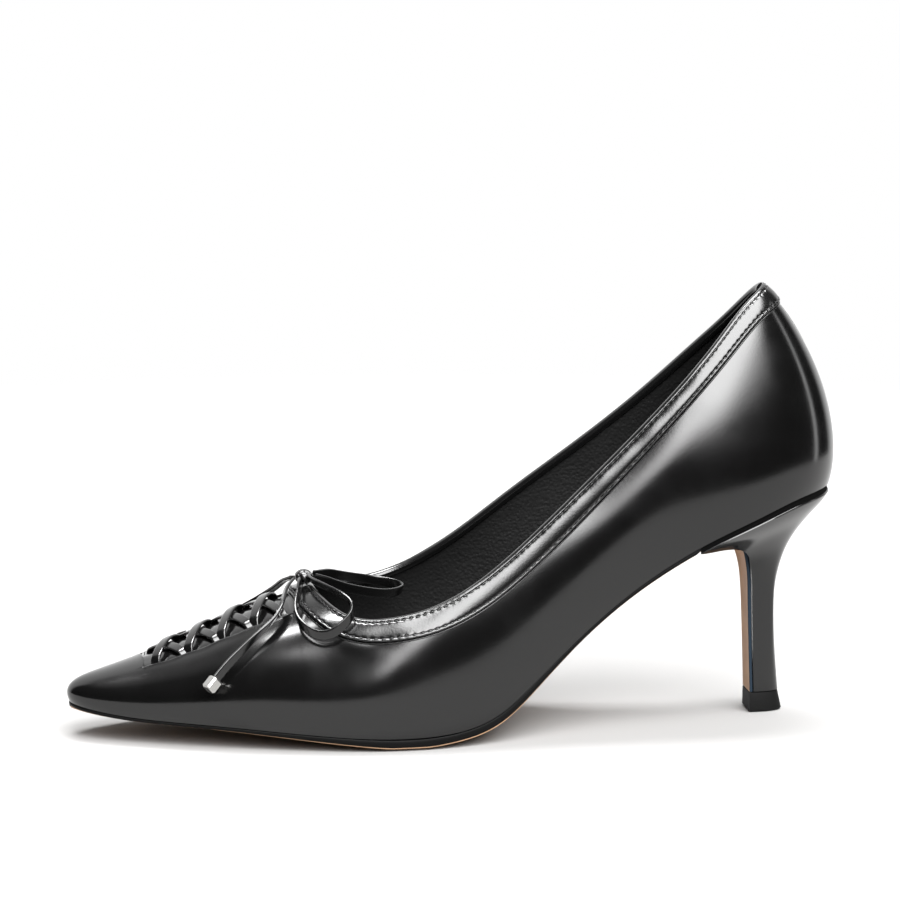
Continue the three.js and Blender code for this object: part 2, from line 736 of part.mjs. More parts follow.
// The bow, knotted over the band at the throat. Each row is a point of a cord's middle line, from
// the knot outwards: x from the toe's foremost point, y from the last's axis, z from the floor
const knot = { x: 72.9, y: -0.4, z: 46.9, length: 5.2, width: 6, height: 4.2 };
const bowCords = {
  bow_loop_outer: [
    { x: 71.5, y: -3.8, z: 46.2 },
    { x: 70.7, y: -7.8, z: 45.9 },
    { x: 69.8, y: -11.8, z: 44.4 },
    { x: 68.5, y: -16.4, z: 41.9 },
    { x: 68.3, y: -21.4, z: 39 },
    { x: 70.4, y: -26, z: 36.5 },
    { x: 73.8, y: -29, z: 35.2 },
    { x: 77.6, y: -30.2, z: 35.8 },
    { x: 81, y: -29.8, z: 38.1 },
    { x: 83.7, y: -28.5, z: 40.8 },
    { x: 84.3, y: -26.3, z: 43 },
    { x: 82.7, y: -23, z: 45 },
    { x: 79.6, y: -18.5, z: 46.3 },
    { x: 76.6, y: -13, z: 47 },
    { x: 74.8, y: -8.2, z: 47.2 },
    { x: 74.2, y: -3.8, z: 47.2 },
  ],
  bow_loop_inner: [
    { x: 76, y: 1.7, z: 46.9 },
    { x: 78.3, y: 4.8, z: 46.4 },
    { x: 81.3, y: 9.2, z: 45.6 },
    { x: 85.8, y: 14.6, z: 43.7 },
    { x: 91.6, y: 18.6, z: 41.8 },
    { x: 98, y: 20.2, z: 40.4 },
    { x: 103.1, y: 18.4, z: 39.6 },
    { x: 105.4, y: 14.8, z: 39.1 },
    { x: 103.7, y: 10.8, z: 38.8 },
    { x: 99.8, y: 7.8, z: 38.9 },
    { x: 95.2, y: 5.4, z: 39.8 },
    { x: 90.5, y: 3.4, z: 41.1 },
    { x: 84, y: 0.8, z: 43.4 },
    { x: 79.4, y: -0.9, z: 45.5 },
    { x: 76.1, y: -1.6, z: 46.6 },
  ],
  bow_end_outer: [
    { x: 69, y: -1.9, z: 46 },
    { x: 66.9, y: -6.4, z: 44.9 },
    { x: 65.3, y: -11.4, z: 42.9 },
    { x: 63.6, y: -16.2, z: 40.6 },
    { x: 59.7, y: -20.4, z: 37 },
    { x: 54.7, y: -23.2, z: 33.3 },
    { x: 50.1, y: -25.4, z: 29.5 },
    { x: 46.1, y: -27.2, z: 26.1 },
    { x: 42.8, y: -28.9, z: 22.8 },
  ],
  bow_end_inner: [
    { x: 69.9, y: 1.9, z: 46.4 },
    { x: 67.6, y: 6.6, z: 45.4 },
    { x: 65.8, y: 11.6, z: 43.2 },
    { x: 63.4, y: 16, z: 40.6 },
    { x: 59.2, y: 20.2, z: 37 },
    { x: 54, y: 23, z: 33.3 },
    { x: 49.2, y: 25.2, z: 29.5 },
    { x: 44.8, y: 26.8, z: 26.1 },
    { x: 41.2, y: 28, z: 22.9 },
  ],
};

function cordShape(rows, diameter, steps) {
  const curve = new THREE.CatmullRomCurve3(rows.map(({ x, y, z }) => new THREE.Vector3(x, y, z)));
  const section = new THREE.Shape(
    range(8, (q) => new THREE.Vector2(Math.cos(2 * Math.PI * q), Math.sin(2 * Math.PI * q)))
      .slice(0, -1)
      .map((corner) => corner.multiplyScalar(diameter / 2)),
  );
  return new THREE.ExtrudeGeometry(section, { steps, extrudePath: curve, bevelEnabled: false });
}

function geometryOf(solid) {
  const { numProp, vertProperties, triVerts } = solid.getMesh();
  const geometry = new THREE.BufferGeometry();
  const positions = new Float32Array((vertProperties.length / numProp) * 3);
  for (let i = 0; i * numProp < vertProperties.length; i++) {
    positions.set(vertProperties.subarray(i * numProp, i * numProp + 3), i * 3);
  }
  geometry.setAttribute("position", new THREE.BufferAttribute(positions, 3));
  geometry.setIndex(new THREE.BufferAttribute(triVerts, 1));
  return geometry;
}

const shoe = new THREE.Group();
shoe.position.set(-shoeLength / 2, axisShift, 0);

function addPiece(name, geometry, material) {
  const mesh = new THREE.Mesh(geometry, material);
  mesh.name = name;
  shoe.add(mesh);
}

addPiece("upper", geometryOf(upperShape()), glossBlack);
addPiece("topline_band", geometryOf(bandShape()), glossBlack);
addPiece("insole", geometryOf(insoleShape()), liningBlack);
addPiece("outsole", geometryOf(outsoleShape()), soleTan);
addPiece("heel", geometryOf(heelShape()), glossBlack);
addPiece("toplift", geometryOf(topliftShape()), rubberBlack);
addPiece("lace_crossings", geometryOf(lacesShape()), laceBlack);

const knotShape = new THREE.SphereGeometry(0.5, 12, 8).rotateX(Math.PI / 2);
knotShape.scale(knot.length, knot.width, knot.height);
addPiece("bow_knot", knotShape.translate(knot.x, knot.y, knot.z), laceBlack);
for (const [name, rows] of Object.entries(bowCords)) {
  addPiece(name, cordShape(rows, bowCordDiameter, rows.length + 1), laceBlack);
}

// A square metal tip stands on the end of each loose cord end
for (const side of ["outer", "inner"]) {
  const rows = bowCords[`bow_end_${side}`];
  const [before, end] = rows.slice(-2).map(({ x, y, z }) => new THREE.Vector3(x, y, z));
  const heading = end.clone().sub(before).normalize();
  const tip = new THREE.Mesh(new THREE.BoxGeometry(tipWidth, tipWidth, tipLength), tipSilver);
  tip.name = `bow_tip_${side}`;
  tip.position.copy(end).addScaledVector(heading, tipLength / 2 + clearance);
  tip.quaternion.setFromUnitVectors(new THREE.Vector3(0, 0, 1), heading);
  shoe.add(tip);
}

export default shoe;
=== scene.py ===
"""Looks of a left black pump: polished leather upper with a laced vamp, a stitched band round its
topline, a bow with metal tips, a thin leather sole and a slim lacquered heel.
Lengths are millimetres until add_piece() turns them into the frame's metres. Lengths along the shoe
run from the toe's foremost point, y from the last's axis (outer side negative), z from the floor."""

import math

import bpy
import numpy as np
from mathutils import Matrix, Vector


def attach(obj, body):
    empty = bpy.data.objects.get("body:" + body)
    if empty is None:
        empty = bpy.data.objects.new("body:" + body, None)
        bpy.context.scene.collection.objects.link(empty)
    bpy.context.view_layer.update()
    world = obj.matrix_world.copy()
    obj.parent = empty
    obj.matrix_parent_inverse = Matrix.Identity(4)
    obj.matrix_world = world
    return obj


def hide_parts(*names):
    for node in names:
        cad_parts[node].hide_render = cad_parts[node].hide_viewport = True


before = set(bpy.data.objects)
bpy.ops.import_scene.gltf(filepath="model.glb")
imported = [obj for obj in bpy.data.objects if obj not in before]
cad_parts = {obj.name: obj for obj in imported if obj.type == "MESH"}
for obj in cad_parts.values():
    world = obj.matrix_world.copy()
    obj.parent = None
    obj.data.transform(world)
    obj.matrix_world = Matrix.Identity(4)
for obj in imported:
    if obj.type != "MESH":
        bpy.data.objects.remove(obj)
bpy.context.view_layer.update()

MM = 0.001
OUTER, INNER = -1, 1


def table(columns, *rows):
    return dict(zip(columns.split(), np.array(rows, float).T))


# Driving sizes, as in the solids
shoe_length = 238
ball_width = 68.6
heel_rise = 68.7
toe_spring = 7.1
back_height = 61
cone_clearance = 2.8
axis_shift = 1.75
upper_wall = 1.8
clearance = 0.3
sole_thickness = 3.2
sole_inset = 0.3
tread_round = 0.6
insole_thickness = 2
band_width = 6.6
recess_depth = 1
flap_thickness = 1
flap_share = 0.94
heel_tip_length = 8.5
heel_tip_width = 10.2
heel_front = 0.8955 * shoe_length
toplift_height = 6.1
toplift_flare = 1.2
toe_overhang = 0.6
heel_overhang = 1.3
feather_length = shoe_length - toe_overhang - heel_overhang
ball_rest = sole_thickness + clearance
topline_height = ball_rest + heel_rise + back_height
last_ridge = cone_clearance + topline_height
shift = np.array([-shoe_length / 2, axis_shift, 0])

outline_rows = table(
    "at outer inner",
    (0, 0, 0),
    (0.017, 0.21, 0.204),
    (0.0595, 0.379, 0.373),
    (0.132, 0.592, 0.58),
    (0.23, 0.834, 0.805),
    (0.336, 1.015, 0.945),
    (0.438, 1.061, 0.939),
    (0.5315, 0.959, 0.775),
    (0.6335, 0.805, 0.571),
    (0.744, 0.72, 0.536),
    (0.859, 0.726, 0.647),
    (0.94, 0.6, 0.577),
    (0.982, 0.362, 0.359),
    (1, 0, 0),
)
bottom_rows = table(
    "at spring rise sole",
    (0, 1, 0, 0.5),
    (0.055, 0.72, 0, 0.47),
    (0.157, 0.52, 0, 0.46),
    (0.272, 0.29, 0, 0.66),
    (0.357, 0.08, 0, 0.89),
    (0.421, 0, 0, 1.07),
    (0.485, 0, 0.016, 1),
    (0.54, 0, 0.079, 0.95),
    (0.591, 0, 0.217, 0.7),
    (0.642, 0, 0.377, 0.53),
    (0.697, 0, 0.533, 0.5),
    (0.761, 0, 0.683, 0.5),
    (0.825, 0, 0.806, 0.5),
    (0.889, 0, 0.904, 0.5),
    (0.948, 0, 0.977, 0.5),
    (1, 0, 1, 0.5),
)
ridge_rows = table(
    "at height",
    (0.029, 0.139),
    (0.08, 0.166),
    (0.16, 0.217),
    (0.244, 0.2795),
    (0.315, 0.3235),
    (0.4, 0.423),
    (0.504, 0.5845),
    (0.63, 0.787),
    (0.756, 0.941),
    (0.873, 1),
)
wall_rows = table(
    "at outer inner side crown",
    (0, 0.076, 0.076, 0.62, 0.6),
    (0.08, 0.105, 0.105, 0.62, 0.62),
    (0.187, 0.146, 0.146, 0.62, 0.62),
    (0.315, 0.175, 0.18, 0.6, 0.56),
    (0.442, 0.204, 0.22, 0.52, 0.5),
    (0.591, 0.19, 0.4, 0.5, 0.5),
    (0.7, 0.2, 0.4, 0.46, 0.48),
    (0.8, 0.205, 0.26, 0.43, 0.45),
    (0.91, 0.205, 0.21, 0.4, 0.42),
    (1, 0.222, 0.222, 0.384, 0.405),
)
throat_at = 0.315
topline_rows = table(
    "at outer inner",
    (throat_at, 0.3303, 0.3303),
    (0.336, 0.304, 0.309),
    (0.361, 0.29, 0.302),
    (0.403, 0.294, 0.305),
    (0.454, 0.317, 0.332),
    (0.513, 0.369, 0.393),
    (0.588, 0.472, 0.497),
    (0.672, 0.606, 0.61),
    (0.756, 0.747, 0.729),
    (0.832, 0.886, 0.853),
    (0.878, 0.968, 0.94),
    (0.901, 0.996, 0.996),
)
band_rows = table(
    "at width",
    (0.315, 1),
    (0.45, 1.06),
    (0.6, 1.02),
    (0.74, 0.86),
    (0.85, 0.86),
    (0.9, 1),
)
toe_fan = {"reach": 30, "shift": 8}
heel_fan = {"reach": 71, "shift": 28.5}
opening = {"from": 0.0945, "to": 0.2845, "edge_front": 0.71, "edge_back": 0.75}
slit_count = 5
slits_at = np.linspace(0.107, 0.2745, slit_count) * shoe_length
breast_depth = 13
breast_at = 0.806
flare_rows = table(
    "up back front side",
    (0, 0, 0, 0),
    (0.2, -0.07, 0.015, -0.01),
    (0.4, -0.11, 0.03, 0),
    (0.56, -0.085, 0.045, 0.035),
    (0.66, 0.01, 0.07, 0.1),
    (0.74, 0.14, 0.12, 0.2),
    (0.81, 0.32, 0.2, 0.36),
    (0.87, 0.53, 0.37, 0.54),
    (0.93, 0.77, 0.66, 0.77),
    (0.97, 0.92, 0.88, 0.91),
    (1, 1, 1, 1),
)


class Spline:
    """Natural cubic spline through points, straight beyond its ends"""

    def __init__(self, xs, ys):
        self.xs = np.asarray(xs, float)
        self.ys = np.asarray(ys, float)
        count = len(self.xs)
        gaps = np.diff(self.xs)
        slopes = np.diff(self.ys) / gaps
        system = np.eye(count)
        load = np.zeros(count)
        for i in range(1, count - 1):
            system[i, i - 1 : i + 2] = gaps[i - 1], 2 * (gaps[i - 1] + gaps[i]), gaps[i]
            load[i] = 6 * (slopes[i] - slopes[i - 1])
        self.bend = np.linalg.solve(system, load)
        self.first = slopes[0] - gaps[0] * (2 * self.bend[0] + self.bend[1]) / 6
        self.last = slopes[-1] + gaps[-1] * (self.bend[-2] + 2 * self.bend[-1]) / 6

    def __call__(self, x):
        x = np.asarray(x, float)
        inside = np.clip(x, self.xs[0], self.xs[-1])
        i = np.clip(np.searchsorted(self.xs, inside) - 1, 0, len(self.xs) - 2)
        width = self.xs[i + 1] - self.xs[i]
        a = (self.xs[i + 1] - inside) / width
        b = (inside - self.xs[i]) / width
        sag = ((a**3 - a) * self.bend[i] + (b**3 - b) * self.bend[i + 1]) * width**2 / 6
        beyond = self.first * np.minimum(x - self.xs[0], 0) + self.last * np.maximum(x - self.xs[-1], 0)
        return a * self.ys[i] + b * self.ys[i + 1] + sag + beyond


def lerp(a, b, q):
    return a + (b - a) * q


def smoothstep(x, low, high):
    q = np.clip((x - low) / (high - low), 0, 1)
    return q * q * (3 - 2 * q)


def bell(x, width):
    return np.exp(-((x / width) ** 2))


def unit(vectors):
    return vectors / np.maximum(np.linalg.norm(vectors, axis=-1, keepdims=True), 1e-12)


def dot(a, b):
    return np.sum(a * b, axis=-1)


def square_to(vectors, axes):
    """Unit vectors along what is left of vectors without their part along unit axes"""
    return unit(vectors - axes * dot(vectors, axes)[..., None])


def run_along(points):
    """Distance of each point of a line from its first, along the line"""
    return np.concatenate([[0], np.cumsum(np.linalg.norm(np.diff(points, axis=0), axis=1))])


def sweep_of(share):
    return np.arccos(1 - 2 * np.clip(share, 0, 1)) / np.pi


def share_of(u):
    return (1 - np.cos(np.pi * u)) / 2


def along(rows, key):
    return Spline(rows["at"], rows[key])


def swept(rows, key):
    return Spline(sweep_of(rows["at"]), rows[key])


words = {OUTER: "outer", INNER: "inner"}
outline = {side: swept(outline_rows, word) for side, word in words.items()}
swell = {side: swept(wall_rows, word) for side, word in words.items()}
topline = {side: along(topline_rows, word) for side, word in words.items()}
spring = along(bottom_rows, "spring")
rise = along(bottom_rows, "rise")
sole_share = along(bottom_rows, "sole")
ridge_share = along(ridge_rows, "height")
side_share = swept(wall_rows, "side")
crown_share = swept(wall_rows, "crown")
band_share = along(band_rows, "width")
flare = {key: Spline(flare_rows["up"], flare_rows[key]) for key in ("back", "front", "side")}


# The last: feather line, ridge, and the wall between them. Slopes are taken over a small step
slope_step = 1e-3


def feather_at(u):
    return toe_overhang + feather_length * share_of(u)


def station_of(x):
    return sweep_of((x - toe_overhang) / feather_length)


def half_width(u, side):
    return outline[side](u) * ball_width / 2


def feather_height(x):
    share = (x - toe_overhang) / feather_length
    return ball_rest + toe_spring * spring(share) + heel_rise * rise(share)


def below_feather(x, distance):
    slope = feather_height(x + 0.5) - feather_height(x - 0.5)
    return feather_height(x) - distance * np.hypot(1, slope)


def ridge_station(x):
    toe = np.clip(1 - (x - toe_overhang) / toe_fan["reach"], 0, 1)
    heel_start = shoe_length - heel_overhang - heel_fan["reach"]
    heel = np.clip((x - heel_start) / heel_fan["reach"], 0, 1)
    return x + toe_fan["shift"] * toe**2 - heel_fan["shift"] * heel**2


def ridge_height(x):
    return ridge_share(x / shoe_length) * last_ridge


def wall_point(u, t, side):
    """Point of the wall at a station u along the feather line and a share t of its climb"""
    x = feather_at(u)
    foot_y = side * half_width(u, side)
    ridge_x = ridge_station(x)
    reach = np.hypot(ridge_x - x, foot_y)
    to_x = (ridge_x - x) / reach
    to_y = -foot_y / reach
    foot_z = feather_height(x)
    ridge_z = ridge_height(ridge_x)
    slope = (ridge_height(ridge_x + 0.5) - ridge_height(ridge_x - 0.5)) * to_x
    bulge = swell[side](u) * ball_width / 2
    crown = crown_share(u) * reach
    s = 1 - t
    out = 3 * s * s * t * -bulge + 3 * s * t * t * (reach - crown) + t**3 * reach
    side_z = foot_z + side_share(u) * (ridge_z - foot_z)
    crown_z = ridge_z - crown * slope
    z = s**3 * foot_z + 3 * s * s * t * side_z + 3 * s * t * t * crown_z + t**3 * ridge_z
    return np.stack([x + to_x * out, foot_y + to_y * out, z], axis=-1)


def wall_frame(u, t, side):
    """The wall's slopes along u and t, and its outward normal"""
    u0, u1 = np.maximum(u - slope_step, 0), np.minimum(u + slope_step, 1)
    t0, t1 = np.maximum(t - slope_step, 0), np.minimum(t + slope_step, 1)
    along_u = (wall_point(u1, t, side) - wall_point(u0, t, side)) / (u1 - u0)[..., None]
    along_t = (wall_point(u, t1, side) - wall_point(u, t0, side)) / (t1 - t0)[..., None]
    return along_u, along_t, unit(np.cross(along_u, along_t)) * -side


def topline_on(u, side):
    """Share of the wall's climb at which the topline runs, found by halving"""
    low = np.full_like(u, 0.05)
    high = np.ones_like(u)
    for _ in range(40):
        middle = (low + high) / 2
        point = wall_point(u, middle, side)
        above = point[..., 2] > topline[side](point[..., 0] / shoe_length) * topline_height
        high = np.where(above, middle, high)
        low = np.where(above, low, middle)
    return (low + high) / 2


class Band:
    """One side's band: columns down the wall from the topline, each a track of places"""
    reach_below = 0.75
    steps = 80

    def __init__(self, side, count):
        self.side = side
        throat = station_of(throat_at * shoe_length)
        q = np.linspace(0, 1, count + 1)
        crowding = 2.1 - 1.1 * q
        u = throat + (1 - throat) * q * q * crowding
        t = topline_on(u, side)
        t[0] = 1
        points = wall_point(u, t, side)
        mirrored = np.array([1, -1, 1])
        padded = np.vstack([points[1] * mirrored, points, points[-2] * mirrored])
        tangent = unit(padded[2:] - padded[:-2])
        heading = np.cross(tangent, wall_frame(u, t, side)[2]) * -side
        heading[[0, -1], 1] = 0
        self.width = band_width * band_share(points[:, 0] / shoe_length)
        self.length = run_along(points)
        stride = (self.width + self.reach_below) / self.steps
        tracks = [(u, t)]
        for _ in range(self.steps):
            along_u, along_t, normal = wall_frame(u, t, side)
            heading = square_to(heading, normal)
            uu, ut, tt = dot(along_u, along_u), dot(along_u, along_t), dot(along_t, along_t)
            hu, ht = dot(heading, along_u), dot(heading, along_t)
            size = uu * tt - ut * ut
            u = np.clip(u + (hu * tt - ht * ut) / size * stride, 0, 1)
            t = np.clip(t + (ht * uu - hu * ut) / size * stride, 0, 1)
            t[0] = 1
            u[-1] = 1
            tracks.append((u, t))
        self.tracks = np.array(tracks)

    def place(self, up):
        """Station and wall share at a height above the band's lower edge, one per column"""
        down = np.clip((self.width - up) / (self.width + self.reach_below), 0, 1) * self.steps
        i = np.minimum(down.astype(int), self.steps - 1)
        columns = np.arange(len(self.width))
        part = down - i
        u = lerp(self.tracks[i, 0, columns], self.tracks[i + 1, 0, columns], part)
        t = lerp(self.tracks[i, 1, columns], self.tracks[i + 1, 1, columns], part)
        return u, t

    def frame(self, up):
        """Points and normals of the wall at a height above the band's lower edge"""
        u, t = self.place(np.minimum(up, self.width))
        points = wall_point(u, t, self.side)
        normals = wall_frame(u, t, self.side)[2]
        normals[[0, -1], 1] = 0
        return points, unit(normals)


# Meshes
def link_piece(name, mesh):
    """An object for a finished mesh, riding on the shoe's one body"""
    piece = bpy.data.objects.new(name, mesh)
    bpy.context.scene.collection.objects.link(piece)
    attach(piece, "root")
    return piece


def add_piece(name, node, slot, points, faces, smooth_below=50, **values):
    """A piece in a node's place, in its slot's finish, with a float attribute for each named value"""
    mesh = bpy.data.meshes.new(name)
    placed = (np.asarray(points, float) + shift) * MM
    mesh.from_pydata(placed.tolist(), [], [list(map(int, face)) for face in faces])
    mesh.validate()
    mesh.shade_smooth()
    mesh.set_sharp_from_angle(angle=math.radians(smooth_below))
    for key, numbers in values.items():
        attribute = mesh.attributes.new(key, "FLOAT", "POINT")
        attribute.data.foreach_set("value", np.asarray(numbers, np.float32))
    mesh.materials.append(finishes[slot])
    piece = link_piece(name, mesh)
    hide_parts(node)
    return piece


def grid_faces(rows, columns, first=0, around=False):
    """Quads of a grid whose points run along columns first; around closes each row"""
    i, j = np.meshgrid(np.arange(rows - 1), np.arange(columns if around else columns - 1), indexing="ij")
    i, j = i.ravel(), j.ravel()
    k = (j + 1) % columns
    corners = [i * columns + j, (i + 1) * columns + j, (i + 1) * columns + k, i * columns + k]
    return np.stack(corners, axis=1) + first


def outward(points, faces):
    """Faces turned so that the closed mesh they make has a positive volume"""
    volume = sum(
        np.dot(points[face[0]], np.cross(points[face[i]], points[face[i + 1]]))
        for face in faces
        for i in range(1, len(face) - 1)
    )
    return faces if volume > 0 else [list(face)[::-1] for face in faces]


def tube(rings):
    """A closed mesh through rings of points, flat at both ends"""
    rings = np.asarray(rings, float)
    rows, columns = rings.shape[:2]
    points = rings.reshape(-1, 3)
    faces = [list(face) for face in grid_faces(rows, columns, around=True)]
    faces.append(list(range(columns)))
    faces.append(list(range((rows - 1) * columns, rows * columns))[::-1])
    centred = points - points.mean(axis=0)
    return points, outward(centred, faces)


def weld(parts):
    """Joins grids, each a grid of points with its values and a flip, into one sheet"""
    points = np.vstack([grid.reshape(-1, 3) for grid, _, _ in parts])
    values = np.concatenate([np.broadcast_to(value, grid.shape[:2]).ravel() for grid, value, _ in parts])
    faces = []
    first = 0
    for grid, _, flip in parts:
        made = grid_faces(*grid.shape[:2], first)
        faces.append(made[:, ::-1] if flip else made)
        first += grid.shape[0] * grid.shape[1]
    _, kept, index = np.unique(np.round(points, 3), axis=0, return_index=True, return_inverse=True)
    index = index.ravel()
    return points[kept], values[kept], index[np.vstack(faces)]


def sheet_normals(points, faces):
    a, b, c, d = (points[faces[:, corner]] for corner in range(4))
    across = np.cross(c - a, d - b)
    normals = np.zeros_like(points)
    for corner in range(4):
        np.add.at(normals, faces[:, corner], across)
    return unit(normals)


def without_doubles(faces):
    """Quads as lists, with corners that fell together taken out"""
    kept = []
    for face in faces.tolist():
        corners = [c for i, c in enumerate(face) if c != face[i - 1]]
        if len(set(corners)) > 2:
            kept.append(corners)
    return kept


def between(top, bottom, faces, rows=((0.5, 0),)):
    """The solid between two layers of the same sheet; rows of its rim are (share down, push out)"""
    count = len(top)
    faces = without_doubles(faces)
    edges = {}
    for face in faces:
        for i, a in enumerate(face):
            b = face[(i + 1) % len(face)]
            if edges.pop((b, a), None) is None:
                edges[(a, b)] = True
    following = {a: b for a, b in edges}
    before = {b: a for a, b in edges}
    rim = list(following)
    run = unit(top[[following[a] for a in rim]] - top[[before[a] for a in rim]])
    away = unit(np.cross(run, top[rim] - bottom[rim]))
    layers = [top, bottom]
    levels = [np.zeros(count), np.ones(count)]
    starts = [dict(zip(rim, rim))]
    first = 2 * count
    for share, push in rows:
        layers.append(lerp(top[rim], bottom[rim], share) + away * push)
        levels.append(np.full(len(rim), share))
        starts.append({a: first + i for i, a in enumerate(rim)})
        first += len(rim)
    starts.append({a: a + count for a in rim})
    made = list(faces) + [[c + count for c in face[::-1]] for face in faces]
    for upper, lower in zip(starts, starts[1:]):
        made += [[upper[b], upper[a], lower[a], lower[b]] for a, b in edges]
    return np.vstack(layers), made, np.concatenate(levels)


# Shader nodes
class Value:
    """A shader socket that can be reckoned with"""

    def __init__(self, graph, socket):
        self.graph = graph
        self.socket = socket

    def math(self, operation, *others):
        return self.graph.node("ShaderNodeMath", {"operation": operation}, *[self, *others])

    def __add__(self, other):
        return self.math("ADD", other)

    def __sub__(self, other):
        return self.math("SUBTRACT", other)

    def __mul__(self, other):
        return self.math("MULTIPLY", other)

    def __rsub__(self, other):
        return self.graph.node("ShaderNodeMath", {"operation": "SUBTRACT"}, other, self)

    def __neg__(self):
        return self * -1

    __radd__ = __add__
    __rmul__ = __mul__

    def ramp(self, low, high):
        """0 below low and 1 above high, or the other way round where low is over high"""
        if low > high:
            return 1 - self.ramp(high, low)
        settings = {"interpolation_type": "SMOOTHSTEP", "data_type": "FLOAT"}
        return self.graph.node("ShaderNodeMapRange", settings, self, low, high, 0.0, 1.0)


class Graph:
    """Node tree of a material or a world"""

    def __init__(self, owner):
        owner.use_nodes = True
        self.tree = owner.node_tree
        self.tree.nodes.clear()

    def node(self, kind, settings=None, *values, out=0, **named):
        made = self.tree.nodes.new(kind)
        for key, setting in (settings or {}).items():
            setattr(made, key, setting)
        sockets = [s for s in made.inputs if s.enabled]
        pairs = list(zip(sockets, values))
        pairs += [(made.inputs[key.replace("_", " ")], value) for key, value in named.items()]
        for socket, value in pairs:
            if isinstance(value, Value):
                self.tree.links.new(value.socket, socket)
            else:
                socket.default_value = value
        if not made.outputs:
            return None
        shown = [s for s in made.outputs if s.enabled]
        return Value(self, made.outputs[out] if isinstance(out, str) else shown[out])

    def place(self):
        """Where on the piece, in metres"""
        return self.node("ShaderNodeTexCoord", out="Object")

    def attribute(self, name):
        return self.node("ShaderNodeAttribute", {"attribute_name": name}, out="Fac")

    def noise(self, size, detail=2.0, where=None):
        """Smooth noise round 0.5 with lumps of a size in millimetres"""
        where = where or self.place()
        return self.node("ShaderNodeTexNoise", None, Vector=where, Scale=1 / (size * MM), Detail=detail)

    def mix(self, factor, a, b):
        return self.node("ShaderNodeMix", {"data_type": "RGBA"}, factor, a, b)

    def bump(self, height, depth):
        """Bump from a height of 0 to 1 that stands for a depth in millimetres"""
        return self.node("ShaderNodeBump", None, Strength=1.0, Distance=depth * MM, Height=height)


def grey(level):
    return (level, level, level, 1.0)


def add_material(build):
    """A material named after the function that builds its shader"""
    material = bpy.data.materials.new(build.__name__)
    graph = Graph(material)
    shader = build(graph)
    graph.node("ShaderNodeOutputMaterial", None, Surface=shader)
    return material


def principled(graph, **sockets):
    return graph.node("ShaderNodeBsdfPrincipled", None, **sockets)


def polished_leather(graph):
    smudge = graph.noise(14).ramp(0.35, 0.75)
    grain = graph.noise(0.5, 3.0) * 0.7 + graph.noise(2.5) * 0.3
    return principled(
        graph,
        Base_Color=grey(0.0016),
        Roughness=0.14 + 0.05 * smudge,
        Coat_Weight=0.1,
        Coat_Roughness=0.08,
        Normal=graph.bump(grain, 0.012),
    )


def band_leather(graph):
    grain = graph.noise(0.6, 3.0) * 0.6 + graph.noise(3) * 0.4
    return principled(
        graph,
        Base_Color=grey(0.0025),
        Roughness=0.15 + 0.06 * graph.noise(5),
        Coat_Weight=0.1,
        Coat_Roughness=0.06,
        Normal=graph.bump(grain, 0.03),
    )


def lining_leather(graph):
    pebble_size = 0.9 * MM
    pebble = graph.node(
        "ShaderNodeTexVoronoi", {"feature": "SMOOTH_F1"}, Vector=graph.place(), Scale=1 / pebble_size
    )
    return principled(
        graph,
        Base_Color=grey(0.0045),
        Specular_IOR_Level=0.35,
        Roughness=0.5 + 0.1 * graph.noise(8),
        Normal=graph.bump(pebble * 0.8 + graph.noise(0.4) * 0.2, 0.22),
    )


def lace_leather(graph):
    return principled(
        graph,
        Base_Color=grey(0.002),
        Roughness=0.15 + 0.08 * graph.noise(2),
        Coat_Weight=0.15,
        Coat_Roughness=0.08,
        Normal=graph.bump(graph.noise(0.5, 3.0), 0.03),
    )


def sole_leather(graph):
    """Tan leather whose edge is painted black where the paint value is over a half. On the flap's edge
    the black is tinted dark blue-grey, a painted highlight
    """
    paint = graph.attribute("paint").ramp(0.45, 0.55)
    cloud = graph.noise(9).ramp(0.3, 0.7)
    tan = graph.mix(cloud, (0.36, 0.22, 0.135, 1), (0.43, 0.27, 0.165, 1))
    # Painted highlight: the flap's black edge paint is tinted dark blue-grey
    flap_edge_highlight = graph.attribute("flap").ramp(0.2, 0.8)
    edge = graph.mix(flap_edge_highlight, grey(0.002), (0.012, 0.02, 0.03, 1))
    return principled(
        graph,
        Base_Color=graph.mix(paint, tan, edge),
        Specular_IOR_Level=0.1,
        Roughness=0.5,
        Normal=graph.bump(graph.noise(0.5, 4.0), 0.03),
    )


def heel_lacquer(graph):
    """Black lacquer, dull and deeper black where the rim value is over a half: the sunk rim's own black,
    with painted shade for the gap under the upper
    """
    glossy = principled(
        graph,
        Base_Color=grey(0.003),
        Roughness=0.14 + 0.04 * graph.noise(6),
        Normal=graph.bump(graph.noise(1.5), 0.006),
    )
    # Painted shade: on the rim the lacquer loses almost all reflection and turns deeper black, standing
    # in for the shade in the gap under the upper
    rim_painted_shade = principled(graph, Base_Color=grey(0.002), Specular_IOR_Level=0.03, Roughness=0.8)
    return graph.node("ShaderNodeMixShader", None, graph.attribute("rim").ramp(0.4, 0.6), glossy, rim_painted_shade)


def tread_rubber(graph):
    return principled(
        graph,
        Base_Color=grey(0.002),
        Specular_IOR_Level=0.12,
        Roughness=0.55 + 0.1 * graph.noise(3),
        Normal=graph.bump(graph.noise(0.3, 4.0), 0.03),
    )


def black_thread(graph):
    return principled(graph, Base_Color=grey(0.006), Roughness=0.42)


def tip_metal(graph):
    return principled(
        graph,
        Base_Color=(0.45, 0.445, 0.43, 1),
        Metallic=1.0,
        Roughness=0.2 + 0.1 * graph.noise(1.2),
    )


# The finish of each slot
finishes = {
    "upper_leather": add_material(polished_leather),
    "band_leather": add_material(band_leather),
    "lining_leather": add_material(lining_leather),
    "lace_leather": add_material(lace_leather),
    "sole_leather": add_material(sole_leather),
    "heel_lacquer": add_material(heel_lacquer),
    "toplift_rubber": add_material(tread_rubber),
    "tip_metal": add_material(tip_metal),
}
thread_finish = add_material(black_thread)

